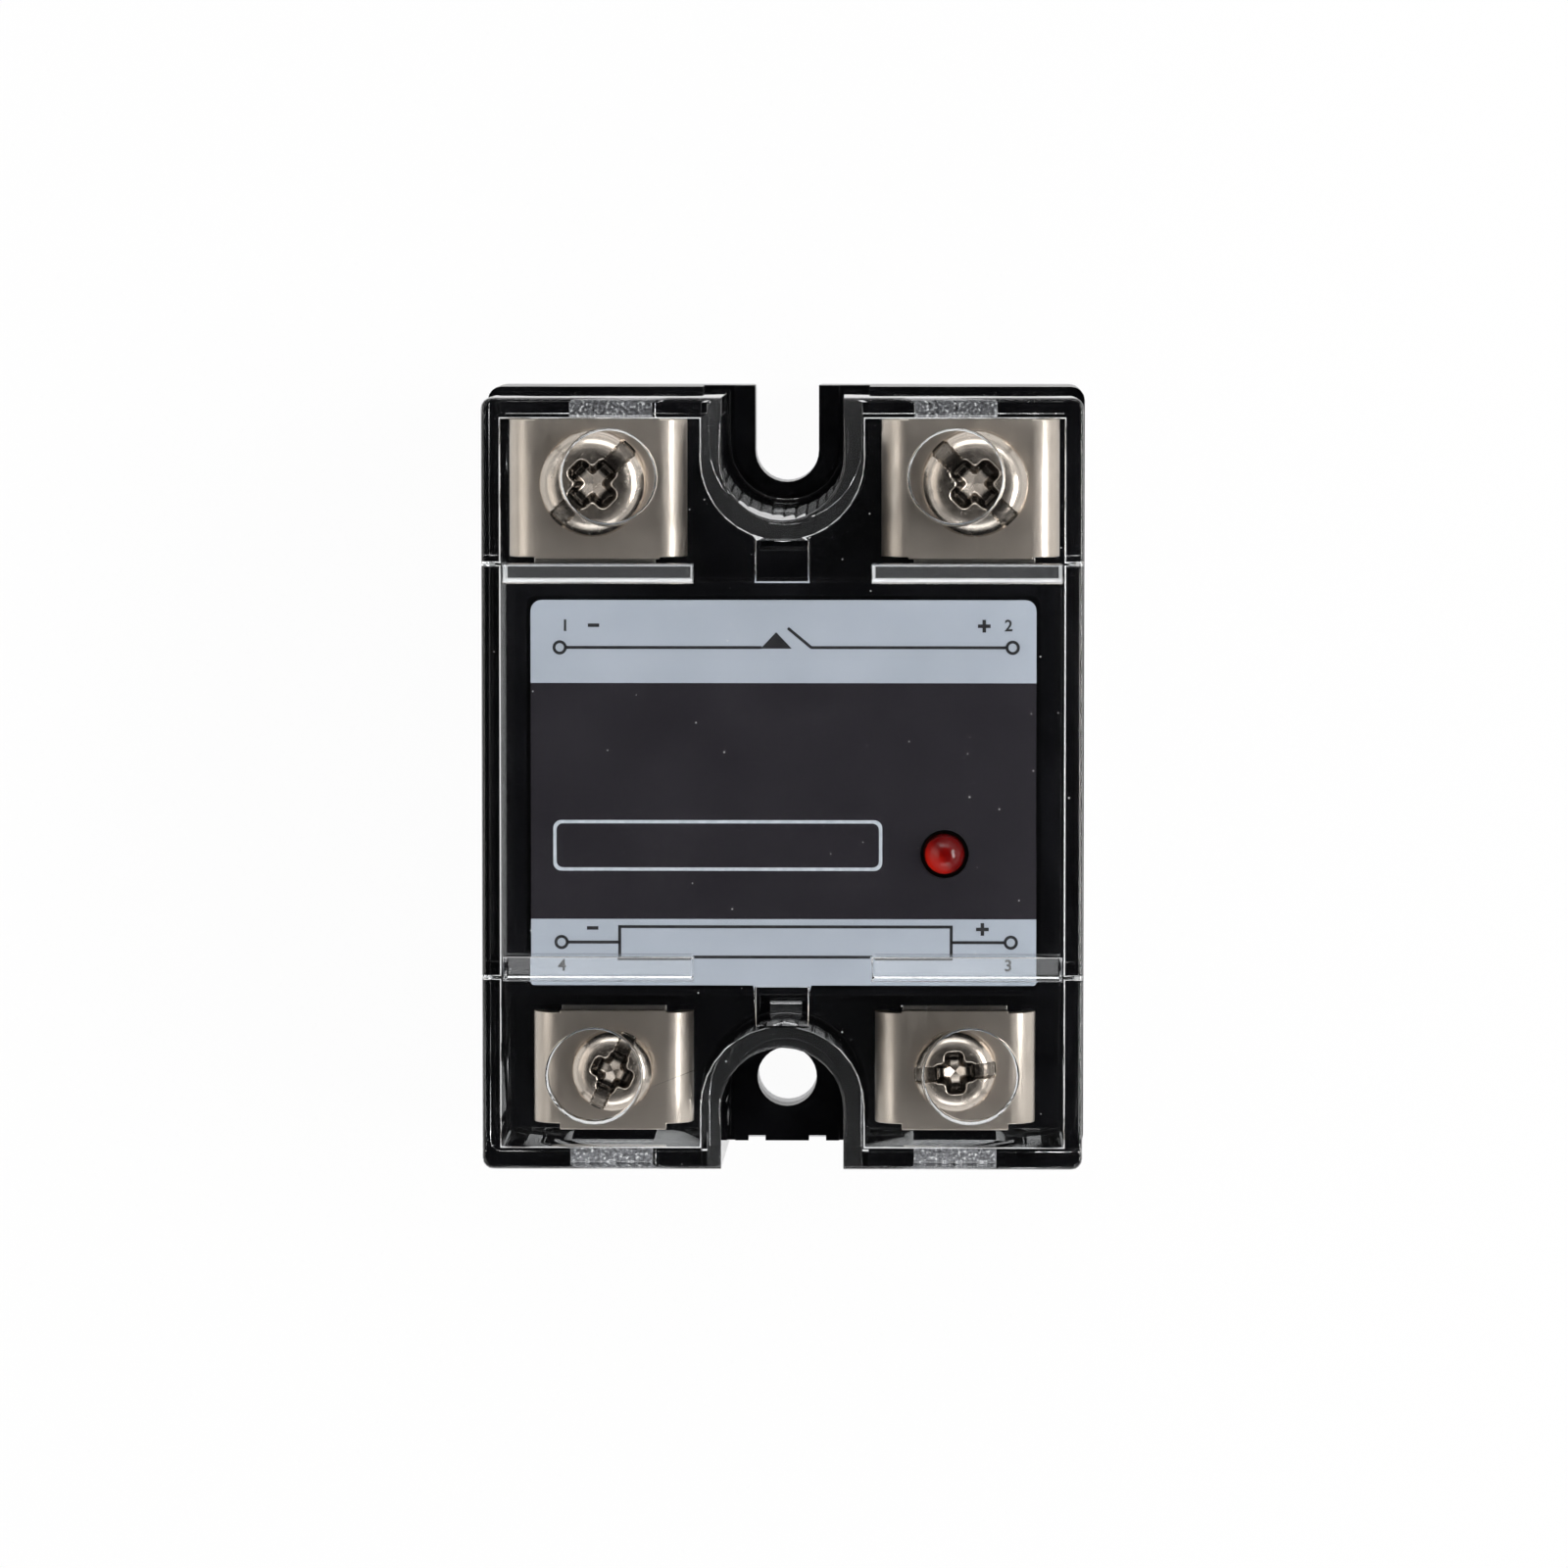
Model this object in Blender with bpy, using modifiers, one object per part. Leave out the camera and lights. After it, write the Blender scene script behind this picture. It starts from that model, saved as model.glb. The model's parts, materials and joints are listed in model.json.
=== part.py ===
"""Panel-mount solid state relay with a clear clip-fitted terminal cover.

The origin is under the middle of the base plate, +Z up. +Y is the output end,
with the open mounting slot, and -Y is the input end, with the round hole.
"""
import math

import bmesh
import bpy
from mathutils import Matrix, Vector

MM = 0.001

# Overall sizes
SKIRT_WIDTH = 44.8 * MM
SKIRT_LENGTH = 57.4 * MM
COVER_TOP = 28.0 * MM
PLATFORM_TOP = 22.0 * MM
CORNER_RADIUS = 1.0 * MM

# Clearance between pieces that touch, and the finer one of the label
GAP = 0.3 * MM
LABEL_GAP = 0.15 * MM
OVERRUN = 1.0 * MM

# Base plate and mounting holes
PLATE_THICKNESS = 3.0 * MM
HOLE_SPACING = 47.6 * MM
SLOT_WIDTH = 4.8 * MM
HOLE_DIAMETER = 4.5 * MM
FLANGE_TOP = 5.0 * MM
WASHER_SEAT_HEIGHT = 0.4 * MM

# Housing
LEDGE_TOP = 10.0 * MM
DECK_TOP = 15.5 * MM
PLATFORM_OUTPUT_END = 14.6 * MM
PLATFORM_INPUT_END = 15.95 * MM
PLATFORM_EDGE = 0.3 * MM
HOUSING_WALL = 1.6 * MM
ROOF_THICKNESS = 1.4 * MM
FLANGE_NICK_WIDTH = 1.3 * MM
FLANGE_NICK_PLACE = 2.3 * MM
FLANGE_NICK_DEPTH = 0.4 * MM

# Label and its recess
RECESS_DEPTH = 0.5 * MM
RECESS_MARGIN = 0.35 * MM
LABEL_THICKNESS = 0.3 * MM
LABEL_WIDTH = 37.3 * MM
LABEL_OUTPUT_MARGIN = 1.34 * MM
LABEL_INPUT_MARGIN = 0.7 * MM
LABEL_CORNER = 0.8 * MM
LABEL_INPUT_CORNER = 0.2 * MM

# Indicator
LED_X = 11.9 * MM
LED_Y = -5.5 * MM
LED_DIAMETER = 3.0 * MM
LED_PROUD = 1.4 * MM
LED_RIM = 0.4 * MM
LED_RIM_HEIGHT = 0.8 * MM
LED_LEAD = 0.5 * MM
LED_LEAD_SPACING = 1.8 * MM

# Cover
COVER_INSET = 0.4 * MM
COVER_CORNER = 0.8 * MM
COVER_EDGE = 0.35 * MM
COVER_PLATE = 1.5 * MM
SIDE_WALL = 1.25 * MM
END_WALL = 1.45 * MM
NOTCH_HALF = 4.5 * MM
NOTCH_HALF_LOW = 4.25 * MM
NOTCH_LEAN = 0.6 * MM
NOTCH_WALL = 1.45 * MM
ACCESS_DIAMETER = 6.8 * MM
ACCESS_NARROW_X = 12.7 * MM
ACCESS_NARROW_INSET = 5.8 * MM
ACCESS_WIDE_X = 13.8 * MM
ACCESS_WIDE_INSET = 6.9 * MM
WINDOW_WIDTH = 6.1 * MM
WINDOW_X = 12.7 * MM
WINDOW_TOP = 20.5 * MM
HOOK_WINDOW_WIDTH = 3.8 * MM
HOOK_WINDOW_END = 14.9 * MM
HOOK_WIDTH = 2.4 * MM
HOOK_REACH = 0.6 * MM
HOOK_LEAD = 0.8 * MM
HOOK_LOW = 9.0 * MM
HOOK_HEIGHT = 1.6 * MM
RIB_OUTPUT_THICKNESS = 1.25 * MM
RIB_INPUT_THICKNESS = 1.65 * MM
RIB_INNER_X = 6.6 * MM
RIB_GAP = 0.4 * MM
RIB_OUTPUT_Y = 15.4 * MM
RIB_INPUT_Y = 13.65 * MM
SLIT_WIDTH = 0.4 * MM
SLIT_OUTPUT_Y = 16.1 * MM
SLIT_INPUT_Y = 14.25 * MM

# Terminals: output (M4) and input (M3.5)
OUTPUT = {
    "x": 14.1 * MM,
    "inset": 6.9 * MM,
    "clamp_size": (13.2 * MM, 10.5 * MM),
    "clamp_shift": (0.3 * MM, 0.4 * MM),
    "clamp_notch": (0.15 * MM, 0.15 * MM),
    "thread": 4.0 * MM,
    "head": 7.9 * MM,
    "head_height": 2.5 * MM,
    "strap_width": 9.0 * MM,
    "slot_width": 1.2 * MM,
}
INPUT = {
    "x": 12.7 * MM,
    "inset": 6.9 * MM,
    "clamp_size": (11.9 * MM, 8.9 * MM),
    "clamp_shift": (0.0 * MM, 0.0 * MM),
    "clamp_notch": (0.45 * MM, 0.15 * MM),
    "thread": 3.5 * MM,
    "head": 6.1 * MM,
    "head_height": 2.3 * MM,
    "strap_width": 7.8 * MM,
    "slot_width": 1.0 * MM,
}
STRAP_THICKNESS = 1.2 * MM
STRAP_END_MARGIN = 0.9 * MM
STRAP_REACH = 3.0 * MM
STRAP_LEG_WIDTH = 5.0 * MM
CLAMP_THICKNESS = 1.0 * MM
CLAMP_HEIGHT = 2.2 * MM
CLAMP_BEND = 2.0 * MM
SILL_ROOF = 1.2 * MM
SILL_WALL = 1.2 * MM
SCREW_TIP = 11.4 * MM
SCREW_WELL = 0.8 * MM
HEAD_SIDE = 1.1 * MM
HEAD_CHAMFER = 0.2 * MM
SLOT_DEPTH = 1.0 * MM
CROSS_SPAN = 4.4 * MM
CROSS_DEPTH = 1.5 * MM

# Electronics inside
SUBSTRATE_SIZE = (27.0 * MM, 20.0 * MM, 1.0 * MM)
DEVICE_SIZE = (10.0 * MM, 9.0 * MM, 4.4 * MM)
DEVICE_X = 6.6 * MM
DEVICE_LEAD = 0.8 * MM
DEVICE_LEAD_PITCH = 2.54 * MM
BOARD_THICKNESS = 1.6 * MM
BOARD_EDGE_GAP = 0.8 * MM
OPTO_SIZE = (6.4 * MM, 8.8 * MM, 3.4 * MM)
DIODE_SIZE = (4.6 * MM, 3.8 * MM, 2.3 * MM)
RESISTOR_LENGTH = 6.3 * MM
RESISTOR_DIAMETER = 2.4 * MM
RESISTOR_WAIST = 2.0 * MM
RESISTOR_END = 1.5 * MM
RESISTOR_ROUND = 0.4 * MM
TRANSISTOR_RADIUS = 2.3 * MM
TRANSISTOR_HEIGHT = 4.6 * MM
TRANSISTOR_FLAT = 1.2 * MM

# Facets of a full circle
FINE = 32
COARSE = 20
CORNER_STEPS = 4
EDGE_STEPS = 2
DOME_STEPS = 5

# Places worked out from the sizes above
HALF_WIDTH = SKIRT_WIDTH / 2
HALF_LENGTH = SKIRT_LENGTH / 2
COVER_HALF_WIDTH = HALF_WIDTH - COVER_INSET
COVER_HALF_LENGTH = HALF_LENGTH - COVER_INSET
BODY_HALF_WIDTH = COVER_HALF_WIDTH - SIDE_WALL - GAP
BODY_HALF_LENGTH = COVER_HALF_LENGTH - END_WALL - GAP
HOUSING_BOTTOM = PLATE_THICKNESS + GAP
HOLE_Y = HOLE_SPACING / 2
CEILING = COVER_TOP - COVER_PLATE
COVER_BOTTOM = LEDGE_TOP + GAP
NOTCH_BOTTOM = FLANGE_TOP + GAP
SEAT_TOP = FLANGE_TOP + WASHER_SEAT_HEIGHT
HOUSING_NOTCH = NOTCH_HALF + NOTCH_WALL + GAP
CAVITY_TOP = PLATFORM_TOP - RECESS_DEPTH - ROOF_THICKNESS
CAVITY_HALF_WIDTH = BODY_HALF_WIDTH - HOUSING_WALL
CAVITY_OUTPUT_END = PLATFORM_OUTPUT_END - HOUSING_WALL
CAVITY_INPUT_END = -(PLATFORM_INPUT_END - HOUSING_WALL)
LABEL_OUTPUT_END = PLATFORM_OUTPUT_END - LABEL_OUTPUT_MARGIN
LABEL_INPUT_END = -(PLATFORM_INPUT_END - LABEL_INPUT_MARGIN)
LABEL_BOTTOM = PLATFORM_TOP - RECESS_DEPTH + LABEL_GAP
STRAP_BOTTOM = DECK_TOP + GAP
STRAP_TOP = STRAP_BOTTOM + STRAP_THICKNESS
CLAMP_BOTTOM = STRAP_TOP + GAP
CLAMP_TOP = CLAMP_BOTTOM + CLAMP_HEIGHT
HEAD_BOTTOM = CLAMP_TOP + GAP
DEVICE_BOTTOM = PLATE_THICKNESS + SUBSTRATE_SIZE[2] + 2 * GAP
DEVICE_TOP = DEVICE_BOTTOM + DEVICE_SIZE[2]
BOARD_STACK = BOARD_THICKNESS + GAP + TRANSISTOR_HEIGHT
BOARD_BOTTOM = (DEVICE_TOP + CAVITY_TOP - BOARD_STACK) / 2
BOARD_TOP = BOARD_BOTTOM + BOARD_THICKNESS
ON_BOARD = BOARD_TOP + GAP

# The four terminals: name, size set, side in X, end in Y and the turn of the screw's slot in degrees
TERMINALS = (
    ("output", 1, OUTPUT, -1, 1, 45.0),
    ("output", 2, OUTPUT, 1, 1, -45.0),
    ("input", 3, INPUT, 1, -1, 4.0),
    ("input", 4, INPUT, -1, -1, 65.0),
)

PARTS = "solid_state_relay"
CUTTERS = "cutters"


def clear_scene():
    """Remove every object and start the two collections."""
    for item in list(bpy.data.objects):
        bpy.data.objects.remove(item, do_unlink=True)
    for name in (PARTS, CUTTERS):
        group = bpy.data.collections.new(name)
        bpy.context.scene.collection.children.link(group)


def finish_material(name, colour, roughness, metallic=0.0, transmission=0.0):
    """A Principled material with one plain finish."""
    material = bpy.data.materials.new(name)
    material.use_nodes = True
    shader = material.node_tree.nodes["Principled BSDF"]
    shader.inputs["Base Color"].default_value = (*colour, 1.0)
    shader.inputs["Roughness"].default_value = roughness
    shader.inputs["Metallic"].default_value = metallic
    shader.inputs["Transmission Weight"].default_value = transmission
    return material


def add_object(name, bm, material=None, place=(0.0, 0.0, 0.0), turn=0.0):
    """Turn a bmesh into an object: a part if it has a material, else a cutter."""
    mesh = bpy.data.meshes.new(name)
    bm.to_mesh(mesh)
    bm.free()
    item = bpy.data.objects.new(name, mesh)
    item.location = place
    item.rotation_euler.z = turn
    if material:
        mesh.materials.append(material)
        bpy.data.collections[PARTS].objects.link(item)
    else:
        bpy.data.collections[CUTTERS].objects.link(item)
        item.hide_render = True
        item.display_type = "WIRE"
    return item


def smooth(item, degrees=35.0):
    """Shade a round piece smooth, with its real edges sharp."""
    item.data.shade_smooth()
    item.data.set_sharp_from_angle(angle=math.radians(degrees))


def combine(item, other, operation="DIFFERENCE"):
    """Cut the item by a cutter, or join the other shape to it."""
    modifier = item.modifiers.new(other.name, "BOOLEAN")
    modifier.operation = operation
    modifier.object = other


def cut_all(item, cutters):
    """Cut the item by each of the cutters."""
    for cutter in cutters:
        combine(item, cutter)


def join_all(item, shapes):
    """Join each of the shapes to the item."""
    for shape in shapes:
        combine(item, shape, "UNION")


def block(name, low, high, material=None):
    """A box between two corners."""
    bm = bmesh.new()
    size = [b - a for a, b in zip(low, high)]
    middle = [(a + b) / 2 for a, b in zip(low, high)]
    bmesh.ops.create_cube(bm, size=1.0, matrix=Matrix.Translation(middle) @ Matrix.Diagonal((*size, 1.0)))
    return add_object(name, bm, material)


def prism(name, outline, low, high, material=None, along="Z"):
    """Extrude a closed outline: of X and Y along Z, of X and Z along Y, or of Y and Z along X."""
    bm = bmesh.new()
    if along == "Z":
        corners = [bm.verts.new((u, v, low)) for u, v in outline]
        shift = Vector((0.0, 0.0, high - low))
    elif along == "X":
        corners = [bm.verts.new((low, u, v)) for u, v in outline]
        shift = Vector((high - low, 0.0, 0.0))
    else:
        corners = [bm.verts.new((u, low, v)) for u, v in outline]
        shift = Vector((0.0, high - low, 0.0))
    face = bm.faces.new(corners)
    grown = bmesh.ops.extrude_face_region(bm, geom=[face])["geom"]
    bmesh.ops.translate(bm, verts=[v for v in grown if isinstance(v, bmesh.types.BMVert)], vec=shift)
    bmesh.ops.recalc_face_normals(bm, faces=bm.faces)
    return add_object(name, bm, material)


def loft(name, low_outline, high_outline, low, high):
    """A straight-sided solid between two outlines with as many points each."""
    bm = bmesh.new()
    bottom = [bm.verts.new((x, y, low)) for x, y in low_outline]
    top = [bm.verts.new((x, y, high)) for x, y in high_outline]
    edges = []
    for ring in (bottom, top):
        edges += [bm.edges.new((a, b)) for a, b in zip(ring, ring[1:] + ring[:1])]
    bmesh.ops.bridge_loops(bm, edges=edges)
    for ring in (bottom, top):
        bm.faces.new(ring)
    bmesh.ops.recalc_face_normals(bm, faces=bm.faces)
    return add_object(name, bm)


def cylinder(name, x, y, diameter, low, high, segments=FINE):
    """An upright round cutter."""
    bm = bmesh.new()
    middle = Matrix.Translation((x, y, (low + high) / 2))
    bmesh.ops.create_cone(
        bm, cap_ends=True, segments=segments, radius1=diameter / 2, radius2=diameter / 2,
        depth=high - low, matrix=middle,
    )
    return add_object(name, bm)


def turned(name, profile, material, place, steps=FINE, turn=0.0):
    """A profile of radius and height, listed from the top down, turned round Z."""
    bm = bmesh.new()
    points = [bm.verts.new((r, 0.0, z)) for r, z in profile]
    for above, below in zip(points, points[1:]):
        bm.edges.new((above, below))
    item = add_object(name, bm, material, place, turn)
    screw = item.modifiers.new("turn", "SCREW")
    screw.steps = steps
    screw.render_steps = steps
    screw.use_merge_vertices = True
    screw.merge_threshold = 0.000001
    return item


def arc(centre, radius, start, end, steps):
    """Points on an arc, from the start angle to the end angle in degrees."""
    points = []
    for i in range(steps + 1):
        angle = math.radians(start + (end - start) * i / steps)
        points.append((centre[0] + radius * math.cos(angle), centre[1] + radius * math.sin(angle)))
    return points


def rounded_rectangle(low, high, radius, low_radius=None, steps=CORNER_STEPS):
    """A rectangle between two corners, with round corners; the two at the low end may be tighter."""
    tight = radius if low_radius is None else low_radius
    points = []
    for x, y, start, bend in (
        (high[0] - radius, high[1] - radius, 0.0, radius),
        (low[0] + radius, high[1] - radius, 90.0, radius),
        (low[0] + tight, low[1] + tight, 180.0, tight),
        (high[0] - tight, low[1] + tight, 270.0, tight),
    ):
        points += arc((x, y), bend, start, start + 90.0, steps)
    return points


def u_shape(half, centre, reach, end):
    """A U that opens to one end: a half circle at the centre, then straight out to the reach."""
    bend = arc((0.0, centre), half, 180.0, 360.0, FINE // 2)
    outline = [(-half, reach)] + bend + [(half, reach)]
    return [(x, end * y) for x, y in outline]


def rounded_block(name, half_width, half_length, low, high, radius, top_edge, material):
    """A block with round upright corners and a small round along its top edge."""
    bm = bmesh.new()
    size = (2 * half_width, 2 * half_length, high - low, 1.0)
    middle = Matrix.Translation((0.0, 0.0, (low + high) / 2))
    bmesh.ops.create_cube(bm, size=1.0, matrix=middle @ Matrix.Diagonal(size))
    upright = [e for e in bm.edges if abs(e.verts[0].co.z - e.verts[1].co.z) > 0.5 * (high - low)]
    bmesh.ops.bevel(bm, geom=upright, offset=radius, segments=CORNER_STEPS, profile=0.5, affect="EDGES", material=-1)
    rim = [e for e in bm.edges if min(v.co.z for v in e.verts) > high - 0.1 * MM]
    bmesh.ops.bevel(bm, geom=rim, offset=top_edge, segments=EDGE_STEPS, profile=0.5, affect="EDGES", material=-1)
    return add_object(name, bm, material)


def hole_cutters(prefix, low, high):
    """The open slot at the output end and the round hole at the input end."""
    slot = u_shape(SLOT_WIDTH / 2, HOLE_Y, HALF_LENGTH + OVERRUN, 1)
    return [
        prism(prefix + "_slot", slot, low, high),
        cylinder(prefix + "_hole", 0.0, -HOLE_Y, HOLE_DIAMETER, low, high),
    ]


def make_base_plate(material):
    """The metal plate that the relay is screwed down by."""
    outline = rounded_rectangle((-HALF_WIDTH, -HALF_LENGTH), (HALF_WIDTH, HALF_LENGTH), CORNER_RADIUS)
    plate = prism("base_plate", outline, 0.0, PLATE_THICKNESS, material)
    cut_all(plate, hole_cutters("plate", -OVERRUN, PLATE_THICKNESS + OVERRUN))
    return plate


def terminal_place(kind, side, end):
    """The axis of a terminal's screw."""
    return side * kind["x"], end * (HALF_LENGTH - kind["inset"])


def clamp_place(kind, side, end):
    """The middle of a terminal's clamp, a little off the screw's axis."""
    x, y = terminal_place(kind, side, end)
    shift_x, shift_y = kind["clamp_shift"]
    return x - side * shift_x, y - end * shift_y


def sill_end(kind, side, end):
    """Where the sill over a strap stops, short of the clamp."""
    return clamp_place(kind, side, end)[1] - end * (kind["clamp_size"][1] / 2 + GAP)


def strap_inner_end(end):
    """Where a terminal strap turns down inside the cavity."""
    return CAVITY_OUTPUT_END - STRAP_REACH if end > 0 else CAVITY_INPUT_END + STRAP_REACH


def terminal_sill(name, kind, side, end):
    """The low sill that runs from the platform over a strap, as far as its clamp."""
    x = terminal_place(kind, side, end)[0]
    half = kind["strap_width"] / 2 + GAP + SILL_WALL
    wall = PLATFORM_OUTPUT_END if end > 0 else -PLATFORM_INPUT_END
    near, far = sorted((wall - end * HOUSING_WALL / 2, sill_end(kind, side, end)))
    return block(name + "_sill", (x - half, near, DECK_TOP - OVERRUN), (x + half, far, STRAP_TOP + GAP + SILL_ROOF))


def terminal_cutters(name, kind, side, end):
    """The strap's way through the platform wall and its sill, and the well under the screw."""
    x, y = terminal_place(kind, side, end)
    half = kind["strap_width"] / 2 + GAP
    near, far = sorted((strap_inner_end(end), sill_end(kind, side, end) + end * OVERRUN))
    slot = block(name + "_way", (x - half, near, DECK_TOP), (x + half, far, STRAP_TOP + GAP))
    well = cylinder(name + "_well", x, y, kind["thread"] + 2 * GAP, SCREW_TIP - SCREW_WELL, DECK_TOP + OVERRUN)
    return [slot, well]


def make_housing(material):
    """The black body: skirt, upper body, decks, label platform, notches and cavity."""
    skirt = rounded_rectangle((-HALF_WIDTH, -HALF_LENGTH), (HALF_WIDTH, HALF_LENGTH), CORNER_RADIUS)
    housing = prism("housing", skirt, HOUSING_BOTTOM, LEDGE_TOP, material)
    body = block(
        "deck_body",
        (-BODY_HALF_WIDTH, -BODY_HALF_LENGTH, LEDGE_TOP - OVERRUN),
        (BODY_HALF_WIDTH, BODY_HALF_LENGTH, DECK_TOP),
    )
    platform = rounded_rectangle(
        (-BODY_HALF_WIDTH, -PLATFORM_INPUT_END),
        (BODY_HALF_WIDTH, PLATFORM_OUTPUT_END),
        PLATFORM_EDGE,
        steps=EDGE_STEPS,
    )
    join_all(housing, [body, prism("platform", platform, LEDGE_TOP - OVERRUN, PLATFORM_TOP)])
    for name, number, kind, side, end, _ in TERMINALS:
        combine(housing, terminal_sill(f"{name}_{number}", kind, side, end), "UNION")
    for end, label in ((1, "output"), (-1, "input")):
        notch = u_shape(HOUSING_NOTCH, HOLE_Y, HALF_LENGTH + OVERRUN, end)
        combine(housing, prism(label + "_notch", notch, FLANGE_TOP, PLATFORM_TOP + OVERRUN))
        seat = u_shape(NOTCH_HALF_LOW - GAP, HOLE_Y + NOTCH_LEAN, HALF_LENGTH, end)
        combine(housing, prism(label + "_seat", seat, FLANGE_TOP - OVERRUN, SEAT_TOP), "UNION")
        half = HOOK_WINDOW_WIDTH / 2
        near = end * (HOLE_Y - HOUSING_NOTCH - HOOK_REACH - GAP)
        low, high = sorted((near, end * HOLE_Y))
        combine(housing, block(label + "_groove", (-half, low, HOOK_LOW - GAP), (half, high, DECK_TOP + OVERRUN)))
    cut_all(housing, hole_cutters("flange", PLATE_THICKNESS - OVERRUN, SEAT_TOP + OVERRUN))
    for side in (-1, 1):
        middle = side * FLANGE_NICK_PLACE
        nick = block(
            f"flange_nick_{side}",
            (middle - FLANGE_NICK_WIDTH / 2, -HALF_LENGTH - OVERRUN, PLATE_THICKNESS),
            (middle + FLANGE_NICK_WIDTH / 2, -HALF_LENGTH + FLANGE_NICK_DEPTH, SEAT_TOP + OVERRUN),
        )
        combine(housing, nick)
    cavity = block(
        "cavity",
        (-CAVITY_HALF_WIDTH, CAVITY_INPUT_END, PLATE_THICKNESS - OVERRUN),
        (CAVITY_HALF_WIDTH, CAVITY_OUTPUT_END, CAVITY_TOP),
    )
    combine(housing, cavity)
    recess = rounded_rectangle(
        (-LABEL_WIDTH / 2 - RECESS_MARGIN, LABEL_INPUT_END - RECESS_MARGIN),
        (LABEL_WIDTH / 2 + RECESS_MARGIN, LABEL_OUTPUT_END + RECESS_MARGIN),
        LABEL_CORNER,
    )
    combine(housing, prism("recess", recess, PLATFORM_TOP - RECESS_DEPTH, PLATFORM_TOP + OVERRUN))
    led_hole = LED_DIAMETER + 2 * GAP
    combine(housing, cylinder("led_way", LED_X, LED_Y, led_hole, CAVITY_TOP - OVERRUN, PLATFORM_TOP, COARSE))
    for name, number, kind, side, end, _ in TERMINALS:
        cut_all(housing, terminal_cutters(f"{name}_{number}", kind, side, end))
    return housing


def make_label(material):
    """The printed sheet, with a hole for the indicator."""
    outline = rounded_rectangle(
        (-LABEL_WIDTH / 2, LABEL_INPUT_END), (LABEL_WIDTH / 2, LABEL_OUTPUT_END), LABEL_CORNER, LABEL_INPUT_CORNER
    )
    label = prism("label", outline, LABEL_BOTTOM, LABEL_BOTTOM + LABEL_THICKNESS, material)
    hole = LED_DIAMETER + 2 * GAP
    combine(label, cylinder("label_hole", LED_X, LED_Y, hole, LABEL_BOTTOM - OVERRUN, COVER_TOP, COARSE))
    return label


def make_led(material):
    """A dome indicator with its rim under the roof and two leads down to the board."""
    radius = LED_DIAMETER / 2
    top = PLATFORM_TOP + LED_PROUD
    rim_top = CAVITY_TOP - GAP
    profile = arc((0.0, top - radius), radius, 90.0, 0.0, DOME_STEPS)
    profile[0] = (0.0, top)
    profile += [(radius, rim_top), (radius + LED_RIM, rim_top), (radius + LED_RIM, rim_top - LED_RIM_HEIGHT)]
    profile.append((0.0, rim_top - LED_RIM_HEIGHT))
    led = turned("led_indicator", profile, material, (LED_X, LED_Y, 0.0), COARSE)
    half = LED_LEAD / 2
    for side in (-1, 1):
        x = LED_X + side * LED_LEAD_SPACING / 2
        lead = block(
            f"led_lead_{side}",
            (x - half, LED_Y - half, ON_BOARD),
            (x + half, LED_Y + half, rim_top - LED_RIM_HEIGHT / 2),
        )
        combine(led, lead, "UNION")
    smooth(led)
    return led


def notch_outlines(extra, reach, end):
    """The low and high outline of a cover notch that leans outwards as it goes down."""
    low = u_shape(NOTCH_HALF_LOW + extra, HOLE_Y + NOTCH_LEAN, reach, end)
    high = u_shape(NOTCH_HALF + extra, HOLE_Y, reach, end)
    return low, high


def make_cover_end(cover, end, label):
    """One end of the cover: the U-wall, its hook and window, and the notch through it."""
    low, high = notch_outlines(NOTCH_WALL, COVER_HALF_LENGTH, end)
    combine(cover, loft(label + "_u_wall", low, high, NOTCH_BOTTOM, CEILING + OVERRUN / 2), "UNION")
    face = HOLE_Y - NOTCH_HALF - NOTCH_WALL
    root, tip = end * (face + NOTCH_WALL), end * (face - HOOK_REACH / 2)
    latch = HOOK_LOW + HOOK_HEIGHT
    outline = [(root, HOOK_LOW), (root, latch), (tip, latch), (tip, HOOK_LOW + HOOK_LEAD), (end * face, HOOK_LOW)]
    half = HOOK_WIDTH / 2
    combine(cover, prism(label + "_hook", outline, -half, half, None, "X"), "UNION")
    low, high = notch_outlines(0.0, COVER_HALF_LENGTH + OVERRUN, end)
    combine(cover, loft(label + "_cover_notch", low, high, FLANGE_TOP - OVERRUN, COVER_TOP + OVERRUN))
    near, far = sorted((end * HOOK_WINDOW_END, end * face))
    half = HOOK_WINDOW_WIDTH / 2
    combine(cover, block(label + "_hook_window", (-half, near, CEILING - OVERRUN), (half, far, COVER_TOP + OVERRUN)))


def make_cover_ribs(cover):
    """Four ribs that hang from the ceiling between the terminals and the label."""
    outer = COVER_HALF_WIDTH - SIDE_WALL - GAP
    ribs = ((1, RIB_OUTPUT_Y, RIB_OUTPUT_THICKNESS), (-1, RIB_INPUT_Y, RIB_INPUT_THICKNESS))
    for end, middle, thickness in ribs:
        near, far = sorted((end * (middle - thickness / 2), end * (middle + thickness / 2)))
        for side in (-1, 1):
            left, right = sorted((side * RIB_INNER_X, side * outer))
            rib = block(
                f"rib_{end}_{side}", (left, near, PLATFORM_TOP + RIB_GAP), (right, far, CEILING + COVER_PLATE / 2)
            )
            combine(cover, rib, "UNION")


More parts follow.
